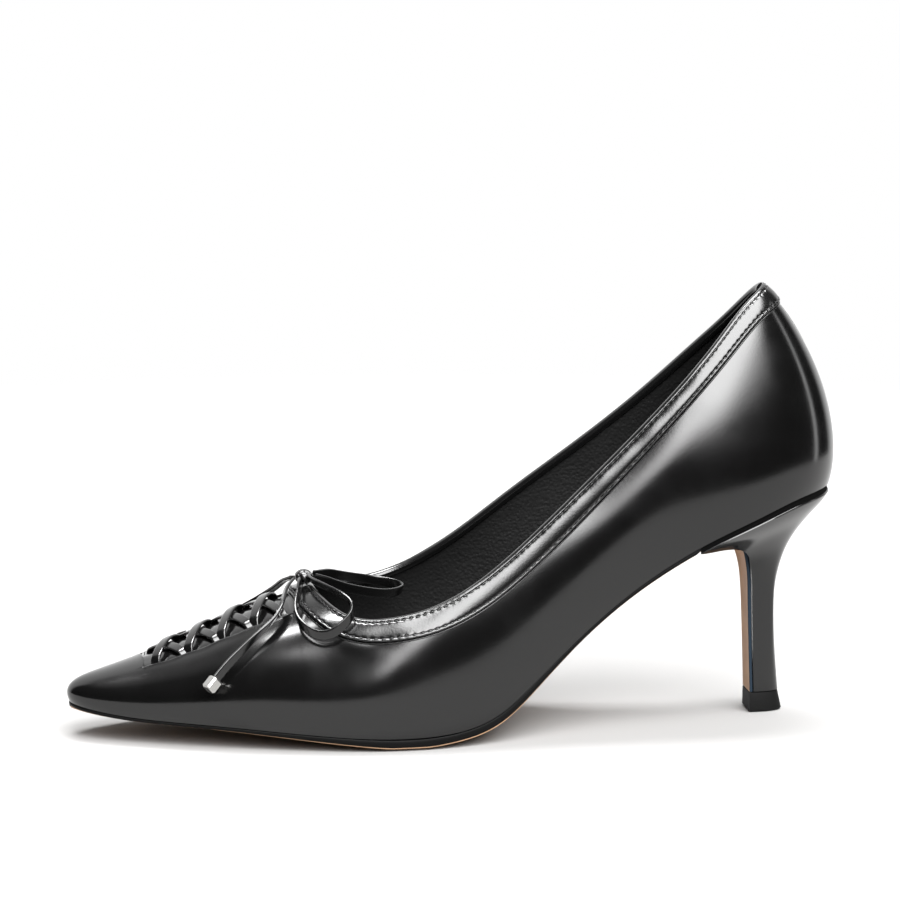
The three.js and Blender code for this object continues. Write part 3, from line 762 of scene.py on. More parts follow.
# Camera: turned a little towards the toe's side and looking slightly down
camera_turn = math.radians(9)
camera_drop = math.radians(11)
camera_distance = 1500
camera_target = np.array([-0.7, 1.75, 84.9])
sensor_width = 36
picture_width = 900
picture_scale = 3.267 / picture_width
view_reach = 20000
gaze = np.array([
    math.sin(camera_turn) * math.cos(camera_drop),
    math.cos(camera_turn) * math.cos(camera_drop),
    -math.sin(camera_drop),
])
camera = bpy.data.objects.new("camera", bpy.data.cameras.new("camera"))
bpy.context.scene.collection.objects.link(camera)
camera.data.sensor_width = sensor_width
camera.data.lens = sensor_width * picture_scale * camera_distance
camera.data.clip_end = view_reach * MM
camera.location = Vector((camera_target - gaze * camera_distance) * MM)
camera.rotation_euler = Vector(gaze).to_track_quat("-Z", "Y").to_euler()
bpy.context.scene.camera = camera
bpy.context.scene.view_settings.view_transform = "Standard"


# The bow: flat straps tied over the throat. Each row is a place of a strap's middle line, from the
# knot outwards
knot_middle = np.array([72.9, -0.4, 46.9])
knot_size = np.array([5.2, 6, 4.2])
wrap_half = 0.6
wrap_lean = 0.12
strap_width = 3
strap_thickness = 0.95
bow_routes = {
    "bow_loop_outer": [
        (71.5, -3.8, 46.2), (70.7, -7.8, 45.9), (69.8, -11.8, 44.4), (68.5, -16.4, 41.9),
        (68.3, -21.4, 39), (70.4, -26, 36.5), (73.8, -29, 35.2), (77.6, -30.2, 35.8),
        (81, -29.8, 38.1), (83.7, -28.5, 40.8), (84.3, -26.3, 43), (82.7, -23, 45),
        (79.6, -18.5, 46.3), (76.6, -13, 47), (74.8, -8.2, 47.2), (74.2, -3.8, 47.2),
    ],
    "bow_loop_inner": [
        (76, 1.7, 46.9), (78.3, 4.8, 46.4), (81.3, 9.2, 45.6), (85.8, 14.6, 43.7),
        (91.6, 18.6, 41.8), (98, 20.2, 40.4), (103.1, 18.4, 39.6), (105.4, 14.8, 39.1),
        (103.7, 10.8, 38.8), (99.8, 7.8, 38.9), (95.2, 5.4, 39.8), (90.5, 3.4, 41.1),
        (84, 0.8, 43.4), (79.4, -0.9, 45.5), (76.1, -1.6, 46.6),
    ],
    "bow_end_outer": [
        (69, -1.9, 46), (66.9, -6.4, 44.9), (65.3, -11.4, 42.9), (63.6, -16.2, 40.6),
        (59.7, -20.4, 37), (54.7, -23.2, 33.3), (50.1, -25.4, 29.5), (46.1, -27.2, 26.1),
        (42.8, -28.9, 22.8),
    ],
    "bow_end_inner": [
        (69.9, 1.9, 46.4), (67.6, 6.6, 45.4), (65.8, 11.6, 43.2), (63.4, 16, 40.6),
        (59.2, 20.2, 37), (54, 23, 33.3), (49.2, 25.2, 29.5), (44.8, 26.8, 26.1), (41.2, 28, 22.9),
    ],
}
tip_width = 3.6
tip_length = 4.2
tip_bevel = 0.45
loop_points = 110
end_points = 90
loop_leans = {OUTER: (0.35, 0.45, 0.3), INNER: (0, 0, 0)}
loop_lean_span = {"from": 0.1, "length": 0.68}
end_turns = {OUTER: math.radians(50), INNER: 0.0}
end_turn_over = (0.35, 0.85)
end_sinks = {OUTER: np.zeros(3), INNER: np.array([0.5, -0.7, -1.9])}
strap_looks = {OUTER: np.array([0.46, -0.89, 0]), INNER: np.array([-0.25, 0.8, 0.6])}
tip_looks = {OUTER: np.array([0.2, -0.95, -0.25]), INNER: np.array([-0.25, 0.8, 0.6])}


def smooth_route(rows, count):
    rows = np.array(rows, float)
    run = run_along(rows)
    at = np.linspace(0, run[-1], count)
    return np.stack([Spline(run, rows[:, k])(at) for k in range(3)], axis=1)


def squared(wave, power):
    """A wave with its shoulders pushed out by a power below 1"""
    return np.sign(wave) * np.abs(wave) ** power


def strap_mesh(route, faces_to, width, thickness, seam):
    """A flat strap with round edges along a route; faces_to is the way its upper face looks, per
    point, and seam the depth of a line along its underside"""
    angle = np.linspace(0, 2 * np.pi, 28, endpoint=False)
    across = squared(np.cos(angle), 0.45) * width / 2
    thick = squared(np.sin(angle), 0.55) * thickness / 2
    thick = thick + seam * bell(across, 0.3) * (np.sin(angle) < 0)
    heading = unit(np.gradient(route, axis=0))
    up = square_to(faces_to, heading)
    sideways = np.cross(up, heading)
    return tube(route[:, None] + sideways[:, None] * across[:, None] + up[:, None] * thick[:, None])


def turned(vectors, axis, angle):
    """Vectors turned about unit axes, both one per row"""
    sine, cosine = np.sin(angle)[:, None], np.cos(angle)[:, None]
    kept = axis * dot(vectors, axis)[:, None]
    return vectors * cosine + np.cross(axis, vectors) * sine + kept * (1 - cosine)


def loop_facing(route, lean):
    """A loop stands on edge: its width runs square to the plane that it lies in, and leans away
    from that by so much round its far bend"""
    plane = np.linalg.svd(route - route.mean(axis=0))[2][2]
    plane = plane * np.sign(plane[2])
    q = np.linspace(0, 1, len(route))[:, None]
    leaning = np.clip((q - loop_lean_span["from"]) / loop_lean_span["length"], 0, 1)
    width_way = unit(plane + np.array(lean) * np.sin(np.pi * leaning) ** 2)
    return np.cross(unit(np.gradient(route, axis=0)), width_way)


def end_facing(route, side, start_turn):
    """A loose end leaves the knot on edge and turns over to lie flat on the vamp"""
    q = np.linspace(0, 1, len(route))
    heading = unit(np.gradient(route, axis=0))
    turns = side * start_turn * (1 - smoothstep(q, *end_turn_over))
    return turned(np.broadcast_to(strap_looks[side], route.shape), heading, turns)


def knot_mesh():
    """A ball pressed into a knot: one wrap of strap round its middle, with a fold across it"""
    rows, columns = 40, 56
    pole = 0.02
    polar = np.linspace(pole, np.pi - pole, rows)[:, None]
    turn = np.linspace(0, 2 * np.pi, columns, endpoint=False)[None]
    ball = np.stack([
        np.sin(polar) * np.cos(turn),
        np.sin(polar) * np.sin(turn),
        np.broadcast_to(np.cos(polar), (rows, columns)),
    ], axis=-1)
    from_middle = np.abs(ball[..., 1] - wrap_lean * ball[..., 2])
    wrap = smoothstep(from_middle, wrap_half + 0.02, wrap_half - 0.1)
    edge = bell(from_middle - wrap_half, 0.06)
    fold = bell(ball[..., 1] + 0.2 * ball[..., 0] + 0.15, 0.07)
    stretch = 1 + 0.1 * wrap - 0.1 * edge - 0.05 * fold * wrap
    return tube(knot_middle + ball * stretch[..., None] * (knot_size / 2))


def tip_mesh(route, facing):
    """A square cap with bevelled edges on the end of a strap"""
    heading = unit(route[-1] - route[-2])
    up = square_to(facing, heading)
    sideways = np.cross(up, heading)
    half = tip_width / 2
    corner = half - tip_bevel
    square = [
        (half, -corner), (half, corner), (corner, half), (-corner, half),
        (-half, corner), (-half, -corner), (-corner, -half), (corner, -half),
    ]
    start = route[-1] + heading * clearance
    stations = [(0, 0.86), (tip_bevel, 1), (tip_length - tip_bevel, 1), (tip_length, 0.78)]
    rings = [
        [start + heading * far + (sideways * a + up * b) * size for a, b in square]
        for far, size in stations
    ]
    return tube(rings)


def add_cord(node, route, facing):
    strap = strap_mesh(route, facing, strap_width, strap_thickness, seam=0.14)
    piece = add_piece(node + "_strap", node, "lace_leather", *strap)


knot_piece = add_piece("knot_wrap", "bow_knot", "lace_leather", *knot_mesh())
for side, word in words.items():
    route = smooth_route(bow_routes["bow_loop_" + word], loop_points)
    add_cord("bow_loop_" + word, route, loop_facing(route, loop_leans[side]))
    route = smooth_route(bow_routes["bow_end_" + word], end_points)
    sunk = np.sin(np.pi * np.linspace(0, 1, end_points)[:, None]) ** 0.7
    route = route + end_sinks[side] * sunk
    cap_mesh = tip_mesh(route, tip_looks[side])
    cap = add_piece("tip_cap_" + word, "bow_tip_" + word, "tip_metal", *cap_mesh, smooth_below=20)
    add_cord("bow_end_" + word, route, end_facing(route, side, end_turns[side]))


# The upper: one sheet over the last, with the laced opening sunk into it. The inner side's band
# starts and ends on the outer side's columns, so that the two meet
leather_thickness = 0.9
least_leather = 0.35
lining_gap = 0.04
band_columns = 440
bands = {side: Band(side, band_columns) for side in words}
bands[INNER].tracks[:, :, 0] = bands[OUTER].tracks[:, :, 0]
bands[INNER].tracks[:, :, -1] = bands[OUTER].tracks[:, :, -1]
bands[INNER].width[[0, -1]] = bands[OUTER].width[[0, -1]]


def opening_edge(u):
    q = (feather_at(u) / shoe_length - opening["from"]) / (opening["to"] - opening["from"])
    return lerp(opening["edge_front"], opening["edge_back"], np.clip(q, 0, 1))


wall_climb = 38
scallop_depth = 0.22
lip_height = 0.12
pillow_height = 0.3
ridge_fullness = 0.2


def upper_height(u, t):
    """How far the leather's face stands off the last's wall. The opening's edge is scalloped and has
    a raised lip, and the tongue inside swells between the slits"""
    x = feather_at(u)
    behind_front = x - opening["from"] * shoe_length
    before_end = opening["to"] * shoe_length - x
    across = (t - opening_edge(u)) * wall_climb
    phase = (x - slits_at[0]) / (slits_at[1] - slits_at[0])
    past_edge = across - scallop_depth * np.cos(2 * np.pi * phase)
    inside = smoothstep(past_edge, -0.05, 0.16) * smoothstep(behind_front, -0.1, 0.12)
    inside = inside * (before_end > -0.2)
    lip_side = bell(past_edge + 0.55, 0.45) * smoothstep(behind_front, -0.8, 0.3)
    lip_front = bell(behind_front + 0.6, 0.5) * smoothstep(across, -0.8, 0.2)
    lip = lip_height * np.maximum(lip_side, lip_front) * (before_end > 0)
    pillow = pillow_height * np.sin(np.pi * phase) ** 2 * smoothstep(across, 0.2, 3)
    pillow = pillow + ridge_fullness * smoothstep(t, 0.85, 1)
    return inside * (pillow - recess_depth) + lip * (1 - inside)


# How much more the leather leans in over its last stretch under the band, in degrees of slope
lean_rows = table(
    "at lean",
    (76, 0),
    (86, -1),
    (94, -3.2),
    (101, -4.9),
    (106, -4.9),
    (111, -3.8),
    (117, -2),
    (124, -0.1),
    (132, 1.6),
    (142, 3.1),
    (152, 4.6),
    (162, 5.8),
    (172, 5.4),
    (181, 3.3),
    (190, 0.9),
    (199, -0.8),
    (206, -2.3),
    (213, -3),
    (220, -2),
    (228, -0.8),
    (235, 0),
)
lean_start = (76, 86)
lean_reach = 24
pinch = {"at": 87, "half": 6, "slope": 6, "reach": 3.5}


def under_band(points):
    """Swell of the wall below the band, for a grid of columns that end at the band's lower edge"""
    climbed = np.array([run_along(column) for column in points])
    below = climbed[:, -1:] - climbed
    x = points[..., 0]
    lean = along(lean_rows, "lean")(np.clip(x, *lean_rows["at"][[0, -1]])) * smoothstep(x, *lean_start)
    pinched = pinch["slope"] * bell(x - pinch["at"], pinch["half"])
    return sum(
        np.tan(np.radians(slope)) * below * bell(below, reach)
        for slope, reach in ((lean, lean_reach), (pinched, pinch["reach"]))
    )


def toe_columns(front, back):
    """Stations from the toe to the band, gathered 0.7 mm round the opening's front edge, where a
    station is worth about 1.2 feather lengths"""
    start = station_of(opening["from"] * shoe_length)
    end = bands[OUTER].place(np.zeros(band_columns + 1))[0][0]
    half = 0.7 / feather_length / 1.2
    return np.concatenate([
        np.linspace(0, start - half, front, endpoint=False),
        np.linspace(start - half, start + half, 14, endpoint=False),
        np.linspace(start + half, end, back),
    ])


def wall_shares(edge, below, near, above):
    """Shares up the wall, gathered round the opening's edge"""
    half = 0.022
    low = np.linspace(0, 1, below, endpoint=False)[None] * (edge - half)[:, None]
    middle = (edge - half)[:, None] + np.linspace(0, 2 * half, near, endpoint=False)[None]
    high = lerp((edge + half)[:, None], 1, np.linspace(0, 1, above)[None])
    return np.hstack([low, middle, high])


def upper_sheet(front, back, below, near, above, skip):
    """The upper's wall from its grids around the toe, behind it up to the band, and under the band:
    its points, their normals, how far the leather's face and underside stand off, and its faces"""
    parts = []
    u = toe_columns(front, back)
    shares = wall_shares(opening_edge(u), below, near, above)
    picked = np.arange(0, band_columns + 1, skip)
    for side, band in bands.items():
        low_u, low_t = (place[picked][1:, None] for place in band.place(np.zeros(band_columns + 1)))
        u_grid = np.repeat(np.vstack([u[:, None], low_u]), shares.shape[1], axis=1)
        t_grid = np.vstack([shares, low_t * shares[-1][None]])
        grid = wall_point(u_grid, t_grid, side)
        heights = upper_height(u_grid, t_grid)
        if side == OUTER:
            heights[len(u) - 1 :] += under_band(grid[len(u) - 1 :])
        parts.append((grid, heights, side == INNER))
        places = np.array([band.place(band.width * up) for up in np.linspace(0, 1, 5)])
        u_grid, t_grid = places[:, 0, picked].T, places[:, 1, picked].T
        parts.append((wall_point(u_grid, t_grid, side), 0, side == INNER))
    points, heights, faces = weld(parts)
    under = np.minimum(-leather_thickness, heights - least_leather)
    return points, sheet_normals(points, faces), heights[:, None], under[:, None], faces


points, normals, over, under, faces = upper_sheet(front=30, back=70, below=34, near=12, above=14, skip=2)
leather = between(points + normals * over, points + normals * under, faces)
add_piece("upper_leather", "upper", "upper_leather", *leather[:2])
points, normals, over, under, faces = upper_sheet(front=14, back=24, below=14, near=4, above=6, skip=4)
lining = between(points + normals * (under - lining_gap), points - normals * upper_wall, faces)
add_piece("upper_lining", "upper", "lining_leather", *lining[:2])


# The band, rolled over the topline. Rows of its section are (up, off the wall): the welt at its
# foot from its lower edge upwards, and the roll over the topline from its upper edge round to the
# hidden back of the band
foot_rows = [
    (-0.66, 0.02), (-0.64, 0.22), (-0.55, 0.36), (-0.42, 0.41), (-0.29, 0.37), (-0.19, 0.22),
    (-0.12, 0.12), (-0.07, 0.3), (-0.02, 0.6), (0.08, 0.82), (0.25, 0.96),
]
roll_rows = [
    (0.2, 0.88), (0.55, 0.5), (0.78, -0.1), (0.84, -0.7), (0.8, -1.3), (0.6, -1.85), (0.25, -2.18),
    (-0.3, -2.3), (-0.9, -2.32), (-1.4, -2.28), (-1.5, -2.1), (-1.4, -1.9), (-0.4, -1.86),
    (0.1, -1.84), (0.2, -1.2), (0.2, -0.5), (0.1, 0.02), (-0.5, 0.05),
]
band_back = 0.05
band_face = 1.0
band_puff = 0.16
band_roof = 6
roof_fade = (118, 104)
stitch_pitch = 2.2
stitch_inset = 0.85
stitch_groove = {"depth": 0.12, "half": 0.14}
needle_hole = {"depth": 0.2, "half": 0.42}
stitch_length = 1.45
stitch_thickness = 0.36
stitch_sink = 0.06


def band_section(width, phase, roof):
    """Section at one column; phase counts stitches, roof is how much its face leans in upwards"""
    hole = np.cos(np.pi * phase) ** 8
    low, high = stitch_inset, width - stitch_inset
    middle = (low + high) / 2
    face = np.concatenate([
        [0.45, low - 0.2, low - 0.1, low, low + 0.1, low + 0.2, low + 0.35],
        np.linspace(low + 0.6, high - 0.6, 11),
        [high - 0.35, high - 0.2, high - 0.1, high, high + 0.1, high + 0.2, width - 0.4, width - 0.15],
    ])
    puff = band_puff * np.clip(1 - ((face - middle) / (high - middle)) ** 2, 0, 1) ** 0.7
    groove, pull = (
        cut["depth"] * (bell(face - low, cut["half"]) + bell(face - high, cut["half"]))
        for cut in (stitch_groove, needle_hole)
    )
    off = band_face + puff - groove - pull * hole
    roll = [(width + up, away) for up, away in roll_rows]
    back = [(width / 2, band_back), (0.2, band_back)]
    rows = np.array(foot_rows + list(zip(face, off)) + roll + back)
    shown = rows[:, 1] > 0.45
    rows[shown, 1] -= math.tan(roof) * (rows[shown, 0] - middle)
    return rows


def roof_of(band):
    return np.radians(band_roof) * smoothstep(band.frame(band.width)[0][:, 0], *roof_fade)


def stitch_count(band):
    return int(round(band.length[-1] / stitch_pitch))


def band_rings(band):
    phase = band.length / band.length[-1] * stitch_count(band)
    sections = np.stack([band_section(*column) for column in zip(band.width, phase, roof_of(band))])
    wobble = 0.025 * np.sin(band.length / 3.1) + 0.02 * np.sin(band.length / 1.7 + 1)
    up = unit(band.frame(band.width)[0] - band.frame(band.width - 0.3)[0])
    rings = np.empty(sections.shape[:2] + (3,))
    for k in range(sections.shape[1]):
        at, off = sections[:, k, 0], sections[:, k, 1]
        points, normals = band.frame(at)
        over = np.maximum(at - band.width, 0)
        lively = off + wobble * (off > 0.8)
        rings[:, k] = points + normals * lively[:, None] + up * over[:, None]
    return rings


def band_mesh():
    """Both sides' rings joined into one loop, whose last ring is followed by its first"""
    rings = np.concatenate([band_rings(bands[OUTER]), band_rings(bands[INNER])[-2:0:-1]])
    rows, columns = rings.shape[:2]
    points = rings.reshape(-1, 3)
    last = (rows - 1) * columns
    quads = grid_faces(rows, columns, around=True).tolist()
    quads += [[last + j, j, (j + 1) % columns, last + (j + 1) % columns] for j in range(columns)]
    return points, outward(points - points.mean(axis=0), quads)


add_piece("topline_binding", "topline_band", "band_leather", *band_mesh(), smooth_below=70)


# Stitches along a line of points with a facing, as instances turned into one plain mesh
def stitch_group():
    group = bpy.data.node_groups.new("stitches_along_line", "GeometryNodeTree")
    made = {}
    kinds = {"Geometry": "Geometry", "Count": "Int", "Length": "Float", "Thickness": "Float",
             "Finish": "Material"}
    for name, kind in kinds.items():
        socket_type = "NodeSocket" + kind
        made[name] = group.interface.new_socket(name, in_out="INPUT", socket_type=socket_type)
    group.interface.new_socket("Geometry", in_out="OUTPUT", socket_type="NodeSocketGeometry")
    nodes, links = group.nodes, group.links
    given = nodes.new("NodeGroupInput")
    result = nodes.new("NodeGroupOutput")

    def add(kind, settings=None, **inputs):
        """A node with its settings, and its named inputs linked or set"""
        node = nodes.new(kind)
        for key, setting in (settings or {}).items():
            setattr(node, key, setting)
        for key, value in inputs.items():
            socket = node.inputs[key.replace("_", " ")]
            if isinstance(value, bpy.types.NodeSocket):
                links.new(value, socket)
            else:
                socket.default_value = value
        return node

    line = add("GeometryNodeMeshToCurve", Mesh=given.outputs["Geometry"])
    evenly = add("GeometryNodeResampleCurve", {"mode": "COUNT"}, Curve=line.outputs["Curve"],
                 Count=given.outputs["Count"])
    tangent = add("GeometryNodeInputTangent")
    facing = add("GeometryNodeInputNamedAttribute", {"data_type": "FLOAT_VECTOR"}, Name="facing")
    along_line = add("FunctionNodeAlignRotationToVector", {"axis": "X"},
                     Vector=tangent.outputs["Tangent"])
    standing = add("FunctionNodeAlignRotationToVector", {"axis": "Z", "pivot_axis": "X"},
                   Rotation=along_line.outputs["Rotation"], Vector=facing.outputs["Attribute"])
    grain = add("GeometryNodeMeshUVSphere", Segments=10, Rings=8, Radius=0.5)
    size = add("ShaderNodeCombineXYZ", X=given.outputs["Length"], Y=given.outputs["Thickness"],
               Z=given.outputs["Thickness"])
    shaped = add("GeometryNodeTransform", Geometry=grain.outputs["Mesh"], Scale=size.outputs["Vector"])
    placed = add("GeometryNodeInstanceOnPoints", Points=evenly.outputs["Curve"],
                 Instance=shaped.outputs["Geometry"], Rotation=standing.outputs["Rotation"])
    real = add("GeometryNodeRealizeInstances", Geometry=placed.outputs["Instances"])
    smooth = add("GeometryNodeSetShadeSmooth", Geometry=real.outputs["Geometry"])
    finish = add("GeometryNodeSetMaterial", Geometry=smooth.outputs["Geometry"],
                 Material=given.outputs["Finish"])
    links.new(finish.outputs["Geometry"], result.inputs["Geometry"])
    return group, {name: socket.identifier for name, socket in made.items()}


stitches_group, stitch_sockets = stitch_group()


def add_stitches(name, line, facing, count):
    """A row of stitches centred between needle holes that divide the line evenly"""
    run = run_along(line)
    at = np.linspace(0.5 / count, 1 - 0.5 / count, len(line)) * run[-1]
    line, facing = (
        np.stack([np.interp(at, run, rows[:, k]) for k in range(3)], axis=1) for rows in (line, facing)
    )
    mesh = bpy.data.meshes.new(name + "_line")
    mesh.from_pydata(((line + shift) * MM).tolist(), [(i, i + 1) for i in range(len(line) - 1)], [])
    mesh.attributes.new("facing", "FLOAT_VECTOR", "POINT").data.foreach_set("vector", facing.ravel())
    guide = bpy.data.objects.new(name + "_line", mesh)
    bpy.context.scene.collection.objects.link(guide)
    modifier = guide.modifiers.new("stitches", "NODES")
    modifier.node_group = stitches_group
    modifier[stitch_sockets["Count"]] = count
    modifier[stitch_sockets["Length"]] = stitch_length * MM
    modifier[stitch_sockets["Thickness"]] = stitch_thickness * MM
    modifier[stitch_sockets["Finish"]] = thread_finish
    graph = bpy.context.evaluated_depsgraph_get()
    made = bpy.data.meshes.new_from_object(guide.evaluated_get(graph))
    bpy.data.objects.remove(guide)
    link_piece(name, made)


for side, band in bands.items():
    lower = np.full(band_columns + 1, stitch_inset)
    for row, up in (("lower", lower), ("upper", band.width - stitch_inset)):
        points, normals = band.frame(up)
        tilt = roof_of(band) * (band.width / 2 - up)
        line = points + normals * (band_face - stitch_sink + tilt)[:, None]
        add_stitches(f"stitches_{row}_{words[side]}", line, normals, stitch_count(band))


# Bottom pieces
def feather_line(u, side):
    return np.stack([feather_at(u), side * half_width(u, side)], axis=-1)


def bottom_edge(u, side, inset):
    """The feather line from below, set in by so much"""
    ahead = feather_line(np.minimum(u + slope_step, 1), side)
    behind = feather_line(np.maximum(u - slope_step, 0), side)
    run = unit(ahead - behind)
    out = np.stack([-run[..., 1], run[..., 0]], axis=-1) * side
    return feather_line(u, side) - out * inset


def edge_towards(u, on_outer, inset):
    """The outer side's edge where on_outer holds, and the inner side's elsewhere"""
    edges = [bottom_edge(u, side, inset) for side in words]
    return [np.where(on_outer, *(edge[..., k] for edge in edges)) for k in range(2)]


def bottom_points(u, v, inset, height):
    """Places across the bottom, v from -1 at the outer edge to 1 at the inner one"""
    x, y = edge_towards(u, v < 0, inset)
    return np.stack([x, y * np.abs(v), height(x, v)], axis=-1)


insole_grid = (150, 21)
insole_inset = upper_wall + clearance
sock_puff = 0.15
sock_lift = 0.26
sock_round = 0.3


def insole_layer(distance, inset):
    u = np.linspace(0.004, 0.996, insole_grid[0])
    edges = [bottom_edge(u, side, inset)[:, None] for side in words]
    flat = lerp(*edges, np.linspace(0, 1, insole_grid[1])[None, :, None])
    return np.concatenate([flat, below_feather(flat[..., :1], distance)], axis=-1).reshape(-1, 3)


insole = between(
    insole_layer(-sock_puff - insole_thickness, insole_inset + sock_round),
    insole_layer(sock_lift, insole_inset),
    grid_faces(*insole_grid),
    rows=((0.12, 0.16), (0.5, 0.1)),
)
add_piece("insole_sock", "insole", "lining_leather", *insole[:2])


def heel_top(x):
    return below_feather(x, clearance)


def breast_line(v):
    return shoe_length * breast_at + breast_depth * (1 - np.abs(v) ** 2.4)


def seat_points(v):
    x = breast_line(v)
    u = station_of(x)
    y = np.where(v < 0, -half_width(u, OUTER), half_width(u, INNER)) * np.abs(v)
    return x, y


def tip_points(share, front, length, width):
    """Outline of the heel's tip, straight in front and round behind"""
    angle = np.pi * (share - 0.5)
    x = front + length * np.abs(np.cos(angle)) ** 0.7
    y = np.sign(share - 0.5) * np.abs(np.sin(angle)) ** 0.8 * width / 2
    return x, y


def flare_points(tip, seat, up, level, front_share):
    """up is the share of the flare, level the share of the height"""
    out = lerp(flare["back"](up), flare["front"](up), front_share)
    x = lerp(tip[0], seat[0], out)
    y = lerp(tip[1], seat[1], flare["side"](up))
    z = lerp(toplift_height + clearance, heel_top(x), level)
    return np.stack(np.broadcast_arrays(x, y, z), axis=-1)


def breast_points(v, up, level=None):
    tip = heel_front, v * heel_tip_width / 2
    return flare_points(tip, seat_points(v), up, up if level is None else level, 1)


def side_points(share, up, level, inset=0.0):
    """Places round the heel's back, share from 0 at the outer breast corner to 1 at the inner one"""
    forward = np.abs(2 * share - 1)
    u = 1 - (1 - station_of(shoe_length * breast_at)) * forward
    seat = edge_towards(u, share < 0.5, inset)
    tip = tip_points(share, heel_front, heel_tip_length, heel_tip_width)
    return flare_points(tip, seat, up, level, smoothstep(forward, 0.35, 1))


# The sole: its rows run from the toe to the breast and then down the flap on the heel's front
sole_columns = 24
sole_stations = 170
flap_stations = 44
paint_to = 0.86
toe_paint = 42
edge_rows = (
    (0.06, 0.1), (0.3, 0.2), (0.6, 0.18), (paint_to - 0.02, 0.14), (paint_to + 0.02, 0.11), (0.94, 0.05),
)
back_thickness = sole_share(breast_at) * sole_thickness


def sole_rows(height, inset, short):
    v = np.linspace(-1, 1, sole_columns + 1)[None]
    p = np.linspace(0, 1, sole_stations)[:, None]
    corner = station_of(breast_line(np.array(1.0)) - short)
    bow = station_of(breast_line(v) - short) - corner
    u = corner * (0.006 + 0.994 * p) + bow * p**8
    return bottom_points(u, np.broadcast_to(v, u.shape), inset, height)


def flap_rows(offset):
    v = np.linspace(-1, 1, sole_columns + 1) * flap_share
    middle = np.array(0.0)
    step = 0.005
    rows = []
    for q in np.linspace(0, 1, flap_stations):
        up = 0.99 * (1 - q**1.6)
        run = breast_points(middle, up + step) - breast_points(middle, up - step)
        away = unit(np.array([-run[2], 0, run[0]]))
        rows.append(breast_points(v, np.full_like(v, up)) + away * offset(q))
    return np.array(rows)


def tread_height(x, v):
    share = (x - toe_overhang) / feather_length
    depth = clearance + sole_share(share) * sole_thickness
    return np.maximum(0, below_feather(x, depth)) + tread_round * v**6


def flap_inner(q):
    """How far the flap's inner face stands off the heel's breast, q from its top to its foot"""
    return clearance * (1 + 1.6 * (1 - q))


def flap_outer(q):
    return flap_inner(q) + lerp(back_thickness, flap_thickness, math.sqrt(q))


sole_top = np.vstack([sole_rows(lambda x, v: heel_top(x), 0, clearance), flap_rows(flap_inner)])
sole_under = np.vstack([sole_rows(tread_height, sole_inset, back_thickness), flap_rows(flap_outer)])
sole_points, sole_faces, sole_levels = between(
    sole_top.reshape(-1, 3), sole_under.reshape(-1, 3), grid_faces(*sole_top.shape[:2]), rows=edge_rows
)
on_rim = (sole_levels > 0) & (sole_levels < 1)
on_flap = on_rim & (sole_points[:, 0] > shoe_length * breast_at + 4)
row_on_flap = np.repeat(np.arange(len(sole_top)) >= sole_stations, sole_columns + 1)
on_flap[: 2 * len(row_on_flap)] = np.tile(row_on_flap, 2)
on_edge = (sole_levels < paint_to) | (sole_levels < 1) & (sole_points[:, 0] < toe_paint)
# flap marks the flap's edge, whose black edge paint gets a painted highlight tint of dark blue-grey
add_piece("leather_sole", "outsole", "sole_leather", sole_points, sole_faces, smooth_below=40,
          paint=on_edge | on_flap & on_rim, flap=on_flap)


# The heel: a flared shell whose top edge stands out over a sunk black rim, whose dull deeper black is
# partly painted shade
rim_level = 0.9726
rim_inset = 0.5
breast_columns = 41
back_columns = 97


def heel_ring(up, level, inset=0.0):
    """One ring: round the back, then across the breast"""
    share = np.linspace(0, 1, back_columns)
    v = np.linspace(1, -1, breast_columns)[1:-1]
    around = side_points(share, np.full_like(share, up), level, inset)
    breast = breast_points(v, np.full_like(v, up), level)
    return np.vstack([around, breast])


def heel_mesh():
    """Points and faces of the shell, and its rim value: 1 on the sunk rim and the seat, where the
    lacquer is painted with shade
    """
    levels = np.concatenate([np.linspace(0, 0.5, 24)[:-1], np.linspace(0.5, 1, 60)])
    rings = [heel_ring(up, up * (rim_level - 0.006)) for up in levels]
    rim = [0.0] * len(rings)
    for level, inset, mark in ((rim_level - 0.002, 0.08, 0.0), (rim_level, 0.22, 0.0),
                               (rim_level + 0.001, rim_inset, 1.0), (1.0, rim_inset, 1.0)):
        rings.append(heel_ring(1.0, level, inset))
        rim.append(mark)
    seat = rings[-1]
    middle = seat.mean(axis=0)
    for share in (0.6, 0.2):
        ring = lerp(middle, seat, share)
        ring[:, 2] = heel_top(ring[:, 0])
        rings.append(ring)
        rim.append(1.0)
    points, faces = tube(rings)
    return points, faces, np.repeat(rim, rings[0].shape[0])


heel_points, heel_faces, heel_rim_shade = heel_mesh()
add_piece("heel_shell", "heel", "heel_lacquer", heel_points, heel_faces, smooth_below=60, rim=heel_rim_shade)

# The toplift, from its tread upwards: height, share of the flare, and inset of the rounded edge
toplift_round = 0.35
toplift_rows = (
    (0, 0.95, 1.3),
    (0, 1, toplift_round),
    (toplift_round, 1, 0),
    (toplift_height - toplift_round, 0, 0),
    (toplift_height - 0.08, 0, 0.1),
    (toplift_height, 0, toplift_round),
)


def toplift_mesh():
    depth = clearance + flap_thickness
    front_v = np.linspace(1, -1, 17)[1:-1]
    rings = []
    for z, flared, inset in toplift_rows:
        flare_out = toplift_flare * flared
        length = heel_tip_length + depth + flare_out - 2 * inset
        width = heel_tip_width + flare_out / 2 - 2 * inset
        x, y = tip_points(np.linspace(0, 1, 61), heel_front - depth + inset, length, width)
        x = np.concatenate([x, np.full_like(front_v, x[-1])])
        y = np.concatenate([y, front_v * y[-1]])
        rings.append(np.column_stack([x, y, np.full_like(x, z)]))
    return tube(rings)


add_piece("tread_piece", "toplift", "toplift_rubber", *toplift_mesh(), smooth_below=40)


# Laces: flat straps from slit to slit, arched over the sunk opening
lace_width = 3
lace_thickness = 1.0
lace_low = -0.2
lace_dive = 1.3
lace_overrun = 1.12
slit_inset = 0.035
lace_lifts = {INNER: 0.75, OUTER: 1.85}


